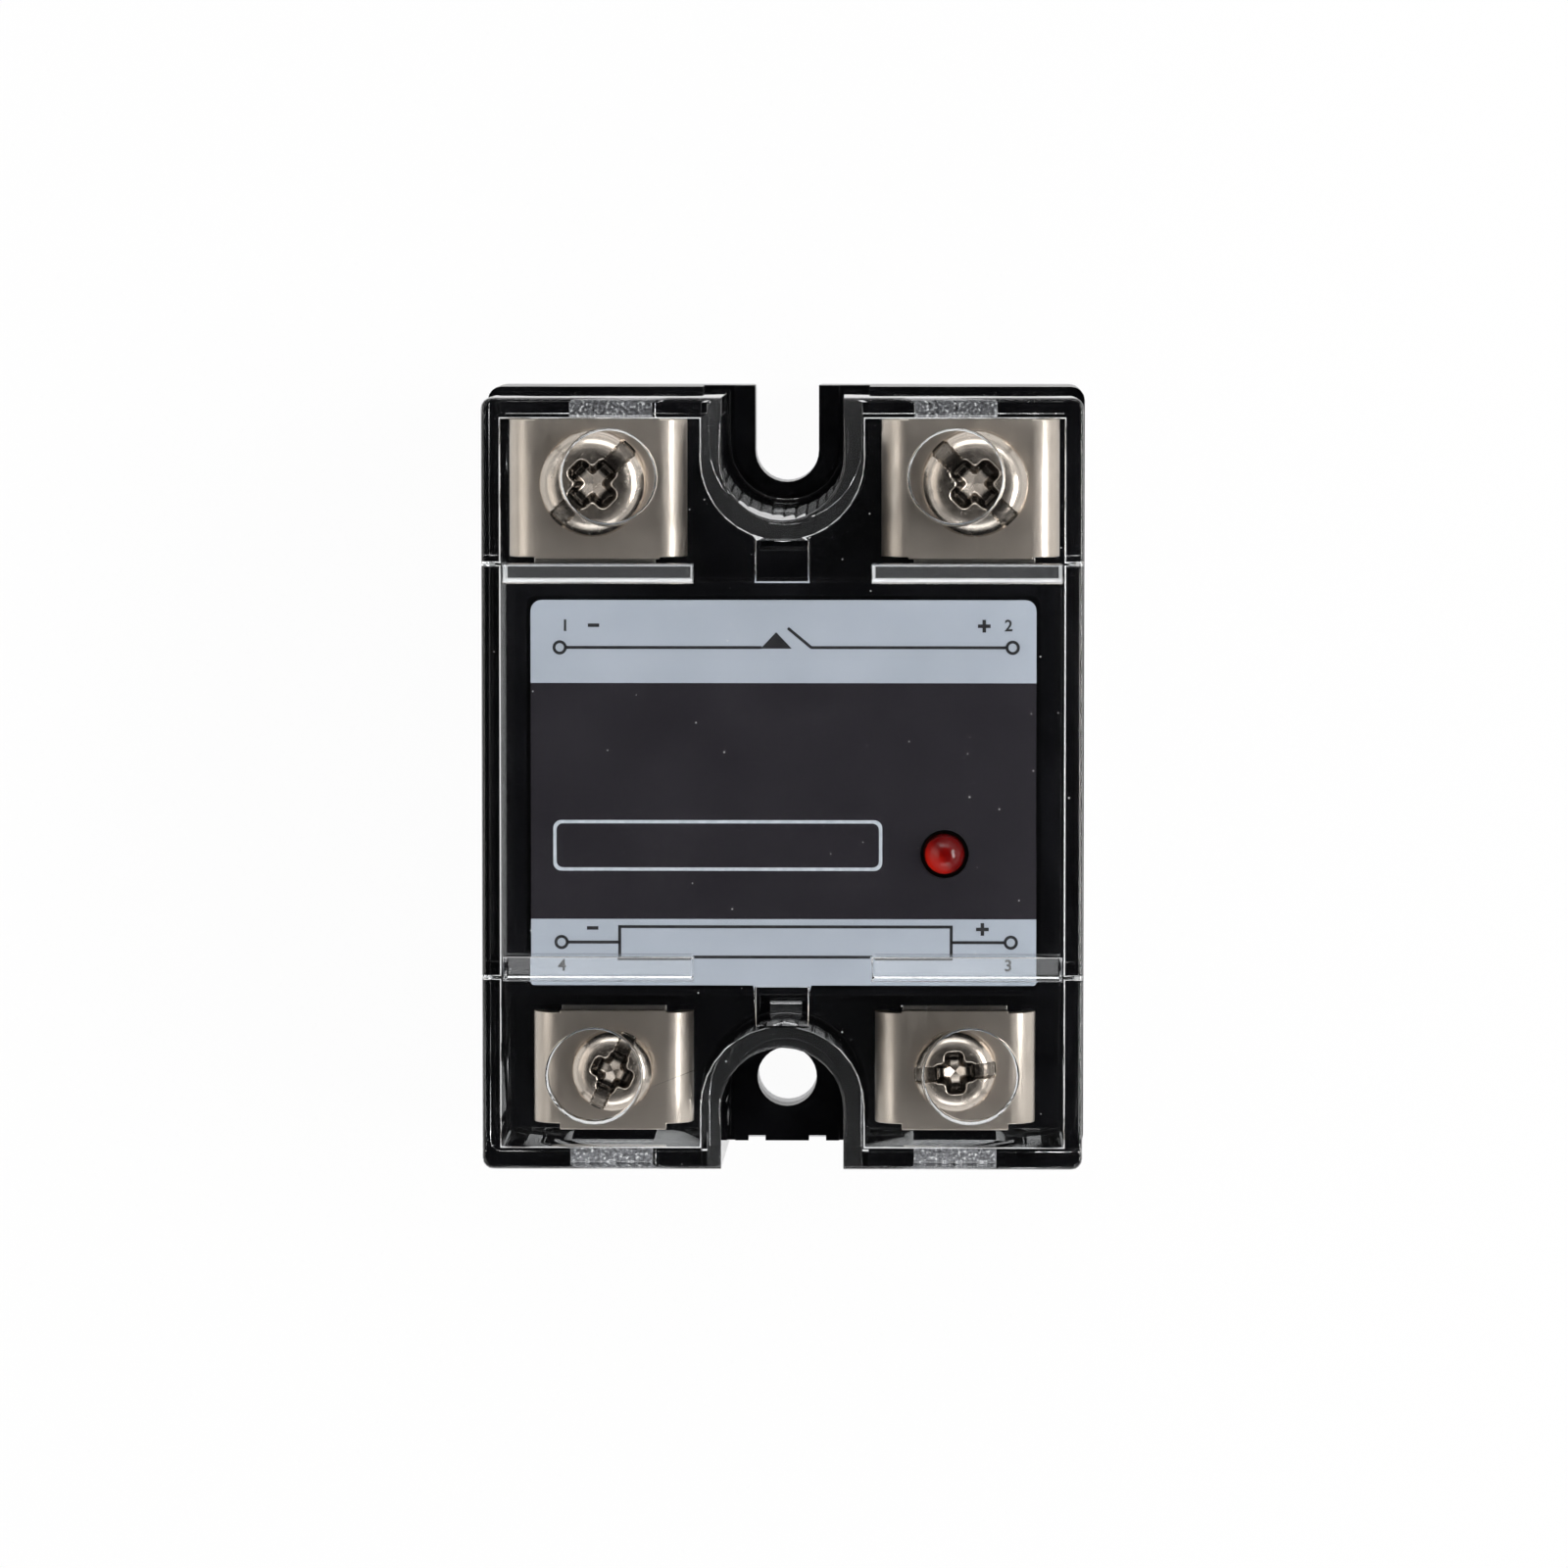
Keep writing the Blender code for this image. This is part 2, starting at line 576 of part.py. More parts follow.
def make_cover(material):
    """The clear moulding over the terminals and the label."""
    cover = rounded_block(
        "cover", COVER_HALF_WIDTH, COVER_HALF_LENGTH, COVER_BOTTOM, COVER_TOP, COVER_CORNER, COVER_EDGE, material
    )
    inner = block(
        "cover_inside",
        (SIDE_WALL - COVER_HALF_WIDTH, END_WALL - COVER_HALF_LENGTH, COVER_BOTTOM - OVERRUN),
        (COVER_HALF_WIDTH - SIDE_WALL, COVER_HALF_LENGTH - END_WALL, CEILING),
    )
    combine(cover, inner)
    make_cover_end(cover, 1, "output")
    make_cover_end(cover, -1, "input")
    make_cover_ribs(cover)
    ends = (
        (1, ACCESS_NARROW_X, ACCESS_NARROW_INSET, SLIT_OUTPUT_Y),
        (-1, ACCESS_WIDE_X, ACCESS_WIDE_INSET, SLIT_INPUT_Y),
    )
    for end, x, inset, slit_y in ends:
        for side in (-1, 1):
            y = end * (COVER_HALF_LENGTH - inset)
            tag = f"{end}_{side}"
            combine(
                cover, cylinder("access_" + tag, side * x, y, ACCESS_DIAMETER, CEILING - OVERRUN, COVER_TOP + OVERRUN)
            )
            near, far = sorted((end * (COVER_HALF_LENGTH - END_WALL - GAP), end * (COVER_HALF_LENGTH + OVERRUN)))
            window = block(
                "window_" + tag,
                (side * WINDOW_X - WINDOW_WIDTH / 2, near, COVER_BOTTOM - OVERRUN),
                (side * WINDOW_X + WINDOW_WIDTH / 2, far, WINDOW_TOP),
            )
            combine(cover, window)
            left, right = sorted((side * (COVER_HALF_WIDTH - SIDE_WALL - GAP), side * (COVER_HALF_WIDTH + OVERRUN)))
            slit = block(
                "slit_" + tag,
                (left, end * slit_y - SLIT_WIDTH / 2, COVER_BOTTOM - OVERRUN),
                (right, end * slit_y + SLIT_WIDTH / 2, CEILING),
            )
            combine(cover, slit)
    return cover


def make_strap(name, kind, side, end, material):
    """A flat terminal strap with a hole for the screw and a leg down to the board."""
    x, y = terminal_place(kind, side, end)
    half = kind["strap_width"] / 2
    inner = strap_inner_end(end)
    near, far = sorted((inner, end * (BODY_HALF_LENGTH - STRAP_END_MARGIN)))
    strap = block(name, (x - half, near, STRAP_BOTTOM), (x + half, far, STRAP_TOP), material)
    half = STRAP_LEG_WIDTH / 2
    near, far = sorted((inner, inner + end * STRAP_THICKNESS))
    leg = block(name + "_leg", (x - half, near, ON_BOARD), (x + half, far, STRAP_TOP - STRAP_THICKNESS / 2))
    combine(strap, leg, "UNION")
    hole = kind["thread"] + 2 * GAP
    combine(strap, cylinder(name + "_hole", x, y, hole, STRAP_BOTTOM - OVERRUN, STRAP_TOP + OVERRUN, COARSE))
    return strap


def saddle_outline(x, width):
    """The bent section of a clamp: a flat top with both sides bent down."""
    outer = width / 2
    inner_bend = CLAMP_BEND - CLAMP_THICKNESS
    right = x + outer - CLAMP_BEND
    left = x - outer + CLAMP_BEND
    height = CLAMP_TOP - CLAMP_BEND
    outline = [(x + outer, CLAMP_BOTTOM)]
    outline += arc((right, height), CLAMP_BEND, 0.0, 90.0, DOME_STEPS)
    outline += arc((left, height), CLAMP_BEND, 90.0, 180.0, DOME_STEPS)
    outline += [(x - outer, CLAMP_BOTTOM), (x - outer + CLAMP_THICKNESS, CLAMP_BOTTOM)]
    outline += arc((left, height), inner_bend, 180.0, 90.0, CORNER_STEPS)
    outline += arc((right, height), inner_bend, 90.0, 0.0, CORNER_STEPS)
    outline.append((x + outer - CLAMP_THICKNESS, CLAMP_BOTTOM))
    return outline


def make_clamp(name, kind, side, end, material):
    """A saddle clamp that the screw presses on the wire."""
    x, y = terminal_place(kind, side, end)
    width, length = kind["clamp_size"]
    middle_x, middle_y = clamp_place(kind, side, end)
    low, high = middle_y - length / 2, middle_y + length / 2
    clamp = prism(name, saddle_outline(middle_x, width), low, high, material, "Y")
    for x_side in (-1, 1):
        for y_side, depth in zip((end, -end), kind["clamp_notch"]):
            left, right = sorted((middle_x + x_side * (width / 2 - CLAMP_BEND), middle_x + x_side * width))
            edge = middle_y + y_side * length / 2
            near, far = sorted((edge - y_side * depth, edge + y_side * OVERRUN))
            corner = block(
                f"{name}_corner_{x_side}_{y_side}", (left, near, STRAP_TOP), (right, far, CLAMP_TOP + OVERRUN)
            )
            combine(clamp, corner)
    hole = kind["thread"] + 2 * GAP
    combine(clamp, cylinder(name + "_hole", x, y, hole, CLAMP_BOTTOM - OVERRUN, CLAMP_TOP + OVERRUN, COARSE))
    smooth(clamp)
    return clamp


def make_screw(name, kind, side, end, turn, material):
    """A domed terminal screw with a combined slot and cross recess."""
    x, y = terminal_place(kind, side, end)
    rim = kind["head"] / 2
    shank = kind["thread"] / 2
    top = HEAD_BOTTOM + kind["head_height"]
    shoulder = HEAD_BOTTOM + HEAD_SIDE
    profile = [(0.0, top)]
    for across, up in arc((0.0, 0.0), 1.0, 90.0, 0.0, DOME_STEPS)[1:]:
        profile.append((rim * across, shoulder + (top - shoulder) * up))
    profile += [(rim, HEAD_BOTTOM + HEAD_CHAMFER), (rim - HEAD_CHAMFER, HEAD_BOTTOM), (shank, HEAD_BOTTOM)]
    profile += [(shank, SCREW_TIP + shank / 2), (shank / 2, SCREW_TIP), (0.0, SCREW_TIP)]
    angle = math.radians(turn)
    screw = turned(name, profile, material, (x, y, 0.0), FINE, angle)
    slot_half = kind["slot_width"] / 2
    span = CROSS_SPAN / 2
    cuts = (
        ("slot", rim + OVERRUN, slot_half, SLOT_DEPTH),
        ("cross_a", span, slot_half, CROSS_DEPTH),
        ("cross_b", slot_half, span, CROSS_DEPTH),
    )
    for tag, half_x, half_y, depth in cuts:
        bm = bmesh.new()
        size = (2 * half_x, 2 * half_y, depth + OVERRUN, 1.0)
        middle = Matrix.Translation((0.0, 0.0, top + (OVERRUN - depth) / 2))
        bmesh.ops.create_cube(bm, size=1.0, matrix=middle @ Matrix.Diagonal(size))
        combine(screw, add_object(f"{name}_{tag}", bm, None, (x, y, 0.0), angle))
    smooth(screw)
    return screw


def device_place(side):
    """The corner points of a power device on the substrate."""
    half_x, half_y = DEVICE_SIZE[0] / 2, DEVICE_SIZE[1] / 2
    x = side * DEVICE_X
    return (x - half_x, -half_y, DEVICE_BOTTOM), (x + half_x, half_y, DEVICE_TOP)


def device_leads(name, side, grow=0.0, top=BOARD_BOTTOM - GAP):
    """Three leads that rise from the device's output edge to the board, grown by a clearance."""
    low, high = device_place(side)
    leads = []
    half = DEVICE_LEAD / 2 + grow
    for i in (-1, 0, 1):
        x = side * DEVICE_X + i * DEVICE_LEAD_PITCH
        leads.append(
            block(
                f"{name}_lead_{i}",
                (x - half, high[1] - DEVICE_LEAD / 2 - grow, low[2] + DEVICE_LEAD - grow),
                (x + half, high[1] + DEVICE_LEAD + grow, top),
            )
        )
    return leads


def make_power_side(ceramic, black, resin):
    """The substrate, the two power devices and the resin round them."""
    low = PLATE_THICKNESS + GAP
    half_x, half_y = SUBSTRATE_SIZE[0] / 2, SUBSTRATE_SIZE[1] / 2
    high = low + SUBSTRATE_SIZE[2]
    block("ceramic_substrate", (-half_x, -half_y, low), (half_x, half_y, high), ceramic)
    fill = block(
        "potting_resin",
        (GAP - CAVITY_HALF_WIDTH, CAVITY_INPUT_END + GAP, low),
        (CAVITY_HALF_WIDTH - GAP, CAVITY_OUTPUT_END - GAP, BOARD_BOTTOM - GAP),
        resin,
    )
    pocket = block(
        "substrate_pocket", (-half_x - GAP, -half_y - GAP, low - OVERRUN), (half_x + GAP, half_y + GAP, high + GAP)
    )
    combine(fill, pocket)
    for number, side in ((1, -1), (2, 1)):
        name = f"power_transistor_{number}"
        corner_low, corner_high = device_place(side)
        device = block(name, corner_low, corner_high, black)
        join_all(device, device_leads(name, side))
        grown_low = [corner_low[0] - GAP, corner_low[1] - GAP, low]
        grown_high = [c + GAP for c in corner_high]
        combine(fill, block(name + "_pocket", grown_low, grown_high))
        cut_all(fill, device_leads(name + "_way", side, GAP, BOARD_BOTTOM + OVERRUN))


def make_resistor(name, x, y, material):
    """An axial resistor that lies on the board, thicker at its ends."""
    radius = RESISTOR_DIAMETER / 2
    half = RESISTOR_LENGTH / 2
    waist = RESISTOR_WAIST / 2
    shoulder = half - RESISTOR_END
    profile = [(0.0, half), (radius - RESISTOR_ROUND, half), (radius, half - RESISTOR_ROUND)]
    profile += [(radius, shoulder), (waist, shoulder - RESISTOR_ROUND)]
    profile += [(r, -z) for r, z in reversed(profile)]
    item = turned(name, profile, material, (x, y, ON_BOARD + radius), COARSE)
    item.rotation_euler.x = math.radians(90.0)
    smooth(item)
    return item


def make_control_side(board_green, black, tan, grey):
    """The circuit board and the parts on it."""
    low = (BOARD_EDGE_GAP - CAVITY_HALF_WIDTH, CAVITY_INPUT_END + BOARD_EDGE_GAP, BOARD_BOTTOM)
    high = (CAVITY_HALF_WIDTH - BOARD_EDGE_GAP, CAVITY_OUTPUT_END - BOARD_EDGE_GAP, BOARD_TOP)
    block("circuit_board", low, high, board_green)
    half_x, half_y, height = OPTO_SIZE[0] / 2, OPTO_SIZE[1] / 2, OPTO_SIZE[2]
    block("optocoupler", (-half_x, -half_y, ON_BOARD), (half_x, half_y, ON_BOARD + height), black)
    half_x, half_y, height = DIODE_SIZE[0] / 2, DIODE_SIZE[1] / 2, DIODE_SIZE[2]
    x = -(OPTO_SIZE[0] / 2 + DIODE_SIZE[0])
    block("surge_diode", (x - half_x, -half_y, ON_BOARD), (x + half_x, half_y, ON_BOARD + height), grey)
    beside = OPTO_SIZE[0] / 2 + RESISTOR_DIAMETER
    make_resistor("input_resistor", beside, -RESISTOR_DIAMETER, tan)
    make_resistor("gate_resistor", beside + 2 * RESISTOR_DIAMETER, RESISTOR_LENGTH / 2, tan)
    flat = math.degrees(math.asin(TRANSISTOR_FLAT / TRANSISTOR_RADIUS))
    x -= DIODE_SIZE[0] + TRANSISTOR_RADIUS
    outline = arc((x, 0.0), TRANSISTOR_RADIUS, -flat, 180.0 + flat, COARSE)
    prism("driver_transistor", outline, ON_BOARD, ON_BOARD + TRANSISTOR_HEIGHT, black)


def main():
    clear_scene()
    black = finish_material("black_moulding", (0.012, 0.012, 0.014), 0.32)
    clear = finish_material("clear_moulding", (0.95, 0.96, 0.97), 0.04, 0.0, 1.0)
    plate = finish_material("plated_plate", (0.62, 0.62, 0.63), 0.35, 1.0)
    nickel = finish_material("nickel", (0.72, 0.69, 0.65), 0.28, 1.0)
    copper = finish_material("tinned_copper", (0.70, 0.66, 0.60), 0.35, 1.0)
    sheet = finish_material("label_sheet", (0.45, 0.51, 0.57), 0.45)
    red = finish_material("red_lens", (0.55, 0.02, 0.03), 0.18, 0.0, 0.3)
    ceramic = finish_material("white_ceramic", (0.85, 0.84, 0.80), 0.6)
    resin = finish_material("grey_resin", (0.16, 0.16, 0.17), 0.5)
    board_green = finish_material("board_green", (0.03, 0.20, 0.07), 0.45)
    device = finish_material("device_black", (0.02, 0.02, 0.02), 0.5)
    tan = finish_material("resistor_tan", (0.55, 0.42, 0.26), 0.5)
    grey = finish_material("diode_grey", (0.10, 0.10, 0.11), 0.5)
    make_base_plate(plate)
    make_housing(black)
    make_label(sheet)
    make_led(red)
    make_cover(clear)
    for name, number, kind, side, end, turn in TERMINALS:
        make_strap(f"{name}_terminal_{number}", kind, side, end, copper)
        make_clamp(f"{name}_clamp_{number}", kind, side, end, nickel)
        make_screw(f"{name}_screw_{number}", kind, side, end, turn, nickel)
    make_power_side(ceramic, device, resin)
    make_control_side(board_green, device, tan, grey)


main()
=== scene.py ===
# %% [markdown]
# # A panel-mount solid state relay
#
# The relay is a black moulded body on a metal plate. Screw clamps sit on four corner decks, a printed
# label lies on the raised middle, and a clear cover clips over the lot. Everything could be modelled here
# from nothing, but the fixed frame already gives every piece its true place and size. So this lesson only
# adds the finish: soft edges, print, plating and clear plastic.

# %% Load the fixed frame
import json
import math

import bmesh
import bpy
from mathutils import Matrix, Vector


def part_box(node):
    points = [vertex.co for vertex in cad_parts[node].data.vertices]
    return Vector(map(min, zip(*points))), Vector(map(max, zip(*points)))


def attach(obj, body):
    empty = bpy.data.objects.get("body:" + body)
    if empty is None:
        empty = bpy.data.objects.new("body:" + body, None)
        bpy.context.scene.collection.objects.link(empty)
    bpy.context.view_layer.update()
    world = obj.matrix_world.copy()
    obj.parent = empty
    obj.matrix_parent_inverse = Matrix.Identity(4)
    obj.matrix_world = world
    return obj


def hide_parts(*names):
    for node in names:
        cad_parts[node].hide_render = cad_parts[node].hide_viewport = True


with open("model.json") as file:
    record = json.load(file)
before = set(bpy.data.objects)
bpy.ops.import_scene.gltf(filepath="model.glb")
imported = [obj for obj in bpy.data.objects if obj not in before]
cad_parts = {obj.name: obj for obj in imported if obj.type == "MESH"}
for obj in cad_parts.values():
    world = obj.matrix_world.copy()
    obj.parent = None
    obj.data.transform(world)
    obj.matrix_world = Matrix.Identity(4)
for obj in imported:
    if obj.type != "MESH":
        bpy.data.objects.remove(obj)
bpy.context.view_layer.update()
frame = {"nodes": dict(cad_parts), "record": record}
MM = 0.001

# %% [markdown]
# ## The camera
#
# The picture looks almost straight down from far away, a little from the output end and from the right.
# A camera can be aimed with a constraint, but a matrix built from three axes needs no extra object and keeps
# the relay's long side exactly upright. A long lens keeps the walls nearly parallel.

# %% Camera
CAMERA_PLACE = Vector((10.5, 42.9, 638.0)) * MM
CAMERA_AIM = Vector((0.14, 0.07, 28.0)) * MM
CAMERA_LENS = 192.0
CAMERA_SENSOR = 36.0
CAMERA_REACH = 10.0

camera_data = bpy.data.cameras.new("camera")
camera_data.lens = CAMERA_LENS
camera_data.sensor_width = CAMERA_SENSOR
camera_data.clip_end = CAMERA_REACH
camera = bpy.data.objects.new("camera", camera_data)
bpy.context.scene.collection.objects.link(camera)
back = (CAMERA_PLACE - CAMERA_AIM).normalized()
right = Vector((0.0, 1.0, 0.0)).cross(back).normalized()
up = back.cross(right)
turn = Matrix((right, up, back)).transposed().to_4x4()
camera.matrix_world = Matrix.Translation(CAMERA_PLACE) @ turn
bpy.context.scene.camera = camera
bpy.context.scene.view_settings.view_transform = "Standard"
print("camera", round((CAMERA_PLACE - CAMERA_AIM).length, 3), "m away")

# %% [markdown]
# ## Node helpers
#
# Every finish here is a small node tree. Trees can be drawn by hand in the shader editor; in a script it is
# shorter to have a few helpers that add a node, fill its sockets and return its output. Each material below
# then reads as a list of what it is made of.

# %% Helpers that add nodes
def add_node(tree, kind, values=None, **settings):
    node = tree.nodes.new(kind)
    for name, value in settings.items():
        setattr(node, name, value)
    for socket, value in (values or {}).items():
        node.inputs[socket].default_value = value
    return node


def fill(tree, socket, source):
    if isinstance(source, bpy.types.NodeSocket):
        tree.links.new(source, socket)
    else:
        socket.default_value = source


def calculate(tree, operation, first, second=0.0):
    node = add_node(tree, "ShaderNodeMath", operation=operation)
    fill(tree, node.inputs[0], first)
    fill(tree, node.inputs[1], second)
    return node.outputs[0]


def calculate_vector(tree, operation, first, second=(0.0, 0.0, 0.0)):
    node = add_node(tree, "ShaderNodeVectorMath", operation=operation)
    fill(tree, node.inputs[0], first)
    fill(tree, node.inputs[1], second)
    return node.outputs["Value"] if operation in ("LENGTH", "DOT_PRODUCT") else node.outputs["Vector"]


def blend_colours(tree, share, first, second):
    node = add_node(tree, "ShaderNodeMix", data_type="RGBA")
    fill(tree, node.inputs[0], share)
    fill(tree, node.inputs[6], first)
    fill(tree, node.inputs[7], second)
    return node.outputs[2]


def blend_shaders(tree, share, first, second):
    node = add_node(tree, "ShaderNodeMixShader")
    for socket, source in zip(node.inputs, (share, first, second)):
        fill(tree, socket, source)
    return node.outputs[0]


print("node helpers ready")

# %% [markdown]
# ## Texture helpers
#
# No real surface has one flat colour or one even shine. Noise on the Object coordinate gives the small
# changes, and it stays with the piece when the piece moves. A ramp turns noise into colours, a remap turns
# it into any other range, and a bump lets it tilt the light.

# %% Helpers for textures
def new_material(name):
    material = bpy.data.materials.new(name)
    material.use_nodes = True
    tree = material.node_tree
    shader = tree.nodes["Principled BSDF"]
    coordinates = add_node(tree, "ShaderNodeTexCoord")
    return material, tree, shader, coordinates.outputs["Object"]


def noise(tree, place, scale, detail=3.0):
    texture = add_node(tree, "ShaderNodeTexNoise", {"Scale": scale, "Detail": detail})
    tree.links.new(place, texture.inputs["Vector"])
    return texture.outputs["Fac"]


def ramp(tree, source, stops):
    node = add_node(tree, "ShaderNodeValToRGB")
    elements = node.color_ramp.elements
    while len(elements) < len(stops):
        elements.new(0.5)
    for element, (position, colour) in zip(elements, stops):
        element.position = position
        element.color = colour
    tree.links.new(source, node.inputs["Fac"])
    return node.outputs["Color"]


def remap(tree, source, low, high, from_low=0.3, from_high=0.7):
    node = add_node(tree, "ShaderNodeMapRange", {1: from_low, 2: from_high, 3: low, 4: high})
    tree.links.new(source, node.inputs[0])
    return node.outputs[0]


def bump(tree, shader, height, strength, distance):
    node = add_node(tree, "ShaderNodeBump", {"Strength": strength, "Distance": distance})
    tree.links.new(height, node.inputs["Height"])
    tree.links.new(node.outputs["Normal"], shader.inputs["Normal"])


def grey(value):
    return (value, value, value, 1.0)


print("texture helpers ready")

# %% [markdown]
# ## The black moulding
#
# The body is a glossy black thermoplastic. A plain black would do from afar, but a mould leaves a surface
# that is polished and never perfect. Fine noise therefore shifts its roughness, and a very low bump breaks
# up the long reflections.

# %% Black moulding
def black_moulding():
    material, tree, shader, place = new_material("black_moulding")
    cloud = noise(tree, place, 260.0)
    stops = ((0.3, (0.0012, 0.0012, 0.0016, 1)), (0.75, (0.003, 0.003, 0.004, 1)))
    tree.links.new(ramp(tree, cloud, stops), shader.inputs["Base Color"])
    tree.links.new(remap(tree, cloud, 0.16, 0.26), shader.inputs["Roughness"])
    shader.inputs["Specular IOR Level"].default_value = 0.3
    bump(tree, shader, noise(tree, place, 2600.0, 2.0), 0.06, 0.03 * MM)
    return material


BLACK = black_moulding()
print("made", BLACK.name)

# %% [markdown]
# ## The clear cover plastic
#
# Clear plastic is glass with a lower index. Light from the lamps has to reach the label through it. Caustics
# could carry that light, but they are slow and noisy, so rays that only ask for shadow pass straight on, as
# through a thin window. A few specks of dust lie on it, one in some of the cells of a Voronoi texture, and
# the attribute "haze" veils the faces that a mould leaves less polished. The wire openings have a
# spark-eroded ceiling, which is the same plastic with a rough, grainy face.

# %% Clear plastic, polished and frosted
GRAIN_SCALE = 4200.0
GRAIN_STOPS = ((0.40, (0.03, 0.03, 0.035, 1)), (0.56, (0.16, 0.165, 0.18, 1)), (0.68, (0.8, 0.8, 0.8, 1)))
DUST_CELLS = 760.0
DUST_PATCHES = 1300.0
DUST_SIZE = 0.06


def frost(tree, shader, place, depth):
    grains = noise(tree, place, GRAIN_SCALE, 4.0)
    tree.links.new(ramp(tree, grains, GRAIN_STOPS), shader.inputs["Base Color"])
    bump(tree, shader, grains, 0.9, depth)
    tree.links.new(remap(tree, grains, 0.8, 0.3, 0.45, 0.65), shader.inputs["Transmission Weight"])


def dust_specks(tree, place):
    cells = add_node(tree, "ShaderNodeTexVoronoi", {"Scale": DUST_CELLS})
    tree.links.new(place, cells.inputs["Vector"])
    size = remap(tree, noise(tree, place, DUST_PATCHES), 0.0, DUST_SIZE, 0.44, 0.7)
    return calculate(tree, "LESS_THAN", cells.outputs["Distance"], size)


def clear_plastic(name, rough_low, rough_high, grain, depth=0.0):
    material, tree, shader, place = new_material(name)
    shader.inputs["Base Color"].default_value = (0.97, 0.98, 0.985, 1.0)
    shader.inputs["Transmission Weight"].default_value = 1.0
    shader.inputs["IOR"].default_value = 1.5
    shader.inputs["Specular IOR Level"].default_value = 0.4
    tree.links.new(remap(tree, noise(tree, place, grain), rough_low, rough_high), shader.inputs["Roughness"])
    if depth:
        frost(tree, shader, place, depth)
    haze = add_node(tree, "ShaderNodeAttribute", attribute_name="haze").outputs["Fac"]
    veil = add_node(tree, "ShaderNodeBsdfDiffuse")
    tree.links.new(remap(tree, haze, 0.5, 0.87, 0.0, 0.02), veil.inputs["Color"])
    share = calculate(tree, "MAXIMUM", dust_specks(tree, place), haze)
    veiled = blend_shaders(tree, share, shader.outputs[0], veil.outputs[0])
    path = add_node(tree, "ShaderNodeLightPath")
    window = add_node(tree, "ShaderNodeBsdfTransparent", {"Color": (0.94, 0.95, 0.96, 1.0)})
    surface = blend_shaders(tree, path.outputs["Is Shadow Ray"], veiled, window.outputs[0])
    tree.links.new(surface, tree.nodes["Material Output"].inputs["Surface"])
    return material


CLEAR = clear_plastic("clear_moulding", 0.0, 0.03, 90.0)
FROSTED = clear_plastic("frosted_moulding", 0.25, 0.6, 2600.0, depth=0.08 * MM)
print("made", CLEAR.name, "and", FROSTED.name)

# %% [markdown]
# ## Plated metal
#
# The clamps and screws are nickel-plated steel, a warm grey with a soft shine; the straps are tinned copper
# and the plate is plated aluminium. One function makes them all, because they differ only in colour and
# shine. Rolling leaves faint lines along the sheet, which come from noise stretched along one axis. On the
# screws an attribute paints shade into the recess: a near-black colour stands in for the shadow there.

# %% Nickel, plate and tinned copper
def plated_metal(name, dark, light, rough, stretch, painted_recess_shade=False):
    material, tree, shader, place = new_material(name)
    shader.inputs["Metallic"].default_value = 1.0
    mapping = add_node(tree, "ShaderNodeMapping", {"Scale": stretch})
    tree.links.new(place, mapping.inputs["Vector"])
    lines = noise(tree, mapping.outputs["Vector"], 900.0, 4.0)
    patches = noise(tree, place, 420.0)
    colour = ramp(tree, patches, ((0.3, dark + (1.0,)), (0.7, light + (1.0,))))
    # painted shade: on the screws the recess colour is blended towards near-black, standing in for its
    # shadow
    if painted_recess_shade:
        depth = add_node(tree, "ShaderNodeAttribute", attribute_name="painted_recess_shade").outputs["Fac"]
        share = remap(tree, depth, 0.0, 0.96, 0.03, 1.0)
        colour = blend_colours(tree, share, colour, (0.03, 0.025, 0.02, 1.0))
    tree.links.new(colour, shader.inputs["Base Color"])
    tree.links.new(remap(tree, lines, *rough), shader.inputs["Roughness"])
    bump(tree, shader, lines, 0.05, 0.01 * MM)
    return material


NICKEL_DARK = (0.58, 0.51, 0.44)
NICKEL = plated_metal("nickel", NICKEL_DARK, (0.64, 0.565, 0.49), (0.30, 0.36), (3.0, 0.6, 3.0))
SCREW = plated_metal("nickel_screw", NICKEL_DARK, (0.66, 0.585, 0.51), (0.2, 0.28), (2.0, 2.0, 2.0), True)
TINNED = plated_metal("tinned_copper", (0.55, 0.52, 0.48), (0.68, 0.65, 0.61), (0.3, 0.45), (6.0, 0.6, 6.0))
PLATE = plated_metal("plated_plate", (0.50, 0.50, 0.51), (0.62, 0.62, 0.63), (0.28, 0.42), (0.5, 6.0, 6.0))
print("made", NICKEL.name, SCREW.name, TINNED.name, PLATE.name)

# %% [markdown]
# ## The label sheet
#
# The label is a pale blue-grey film with a dark band printed across its middle. The band could be a second
# mesh or an image, but its two edges are straight lines in Y, so the print is a step on the Object
# coordinate. A light noise keeps both colours from being flat.

# %% Label sheet
BAND_LOW = -10.33 * MM
BAND_HIGH = 7.14 * MM


def label_sheet():
    material, tree, shader, place = new_material("label_sheet")
    split = add_node(tree, "ShaderNodeSeparateXYZ")
    tree.links.new(place, split.inputs[0])
    offset = calculate(tree, "SUBTRACT", split.outputs["Y"], (BAND_LOW + BAND_HIGH) / 2)
    inside = calculate(tree, "LESS_THAN", calculate(tree, "ABSOLUTE", offset), (BAND_HIGH - BAND_LOW) / 2)
    cloud = noise(tree, place, 180.0)
    pale = ramp(tree, cloud, ((0.3, (0.358, 0.392, 0.440, 1)), (0.7, (0.387, 0.420, 0.472, 1))))
    dark = ramp(tree, cloud, ((0.3, (0.0128, 0.0112, 0.0145, 1)), (0.7, (0.0158, 0.0138, 0.0178, 1))))
    tree.links.new(blend_colours(tree, inside, pale, dark), shader.inputs["Base Color"])
    tree.links.new(remap(tree, cloud, 0.38, 0.5), shader.inputs["Roughness"])
    shader.inputs["Specular IOR Level"].default_value = 0.25
    bump(tree, shader, noise(tree, place, 1800.0, 2.0), 0.08, 0.03 * MM)
    return material


SHEET = label_sheet()
print("made", SHEET.name)

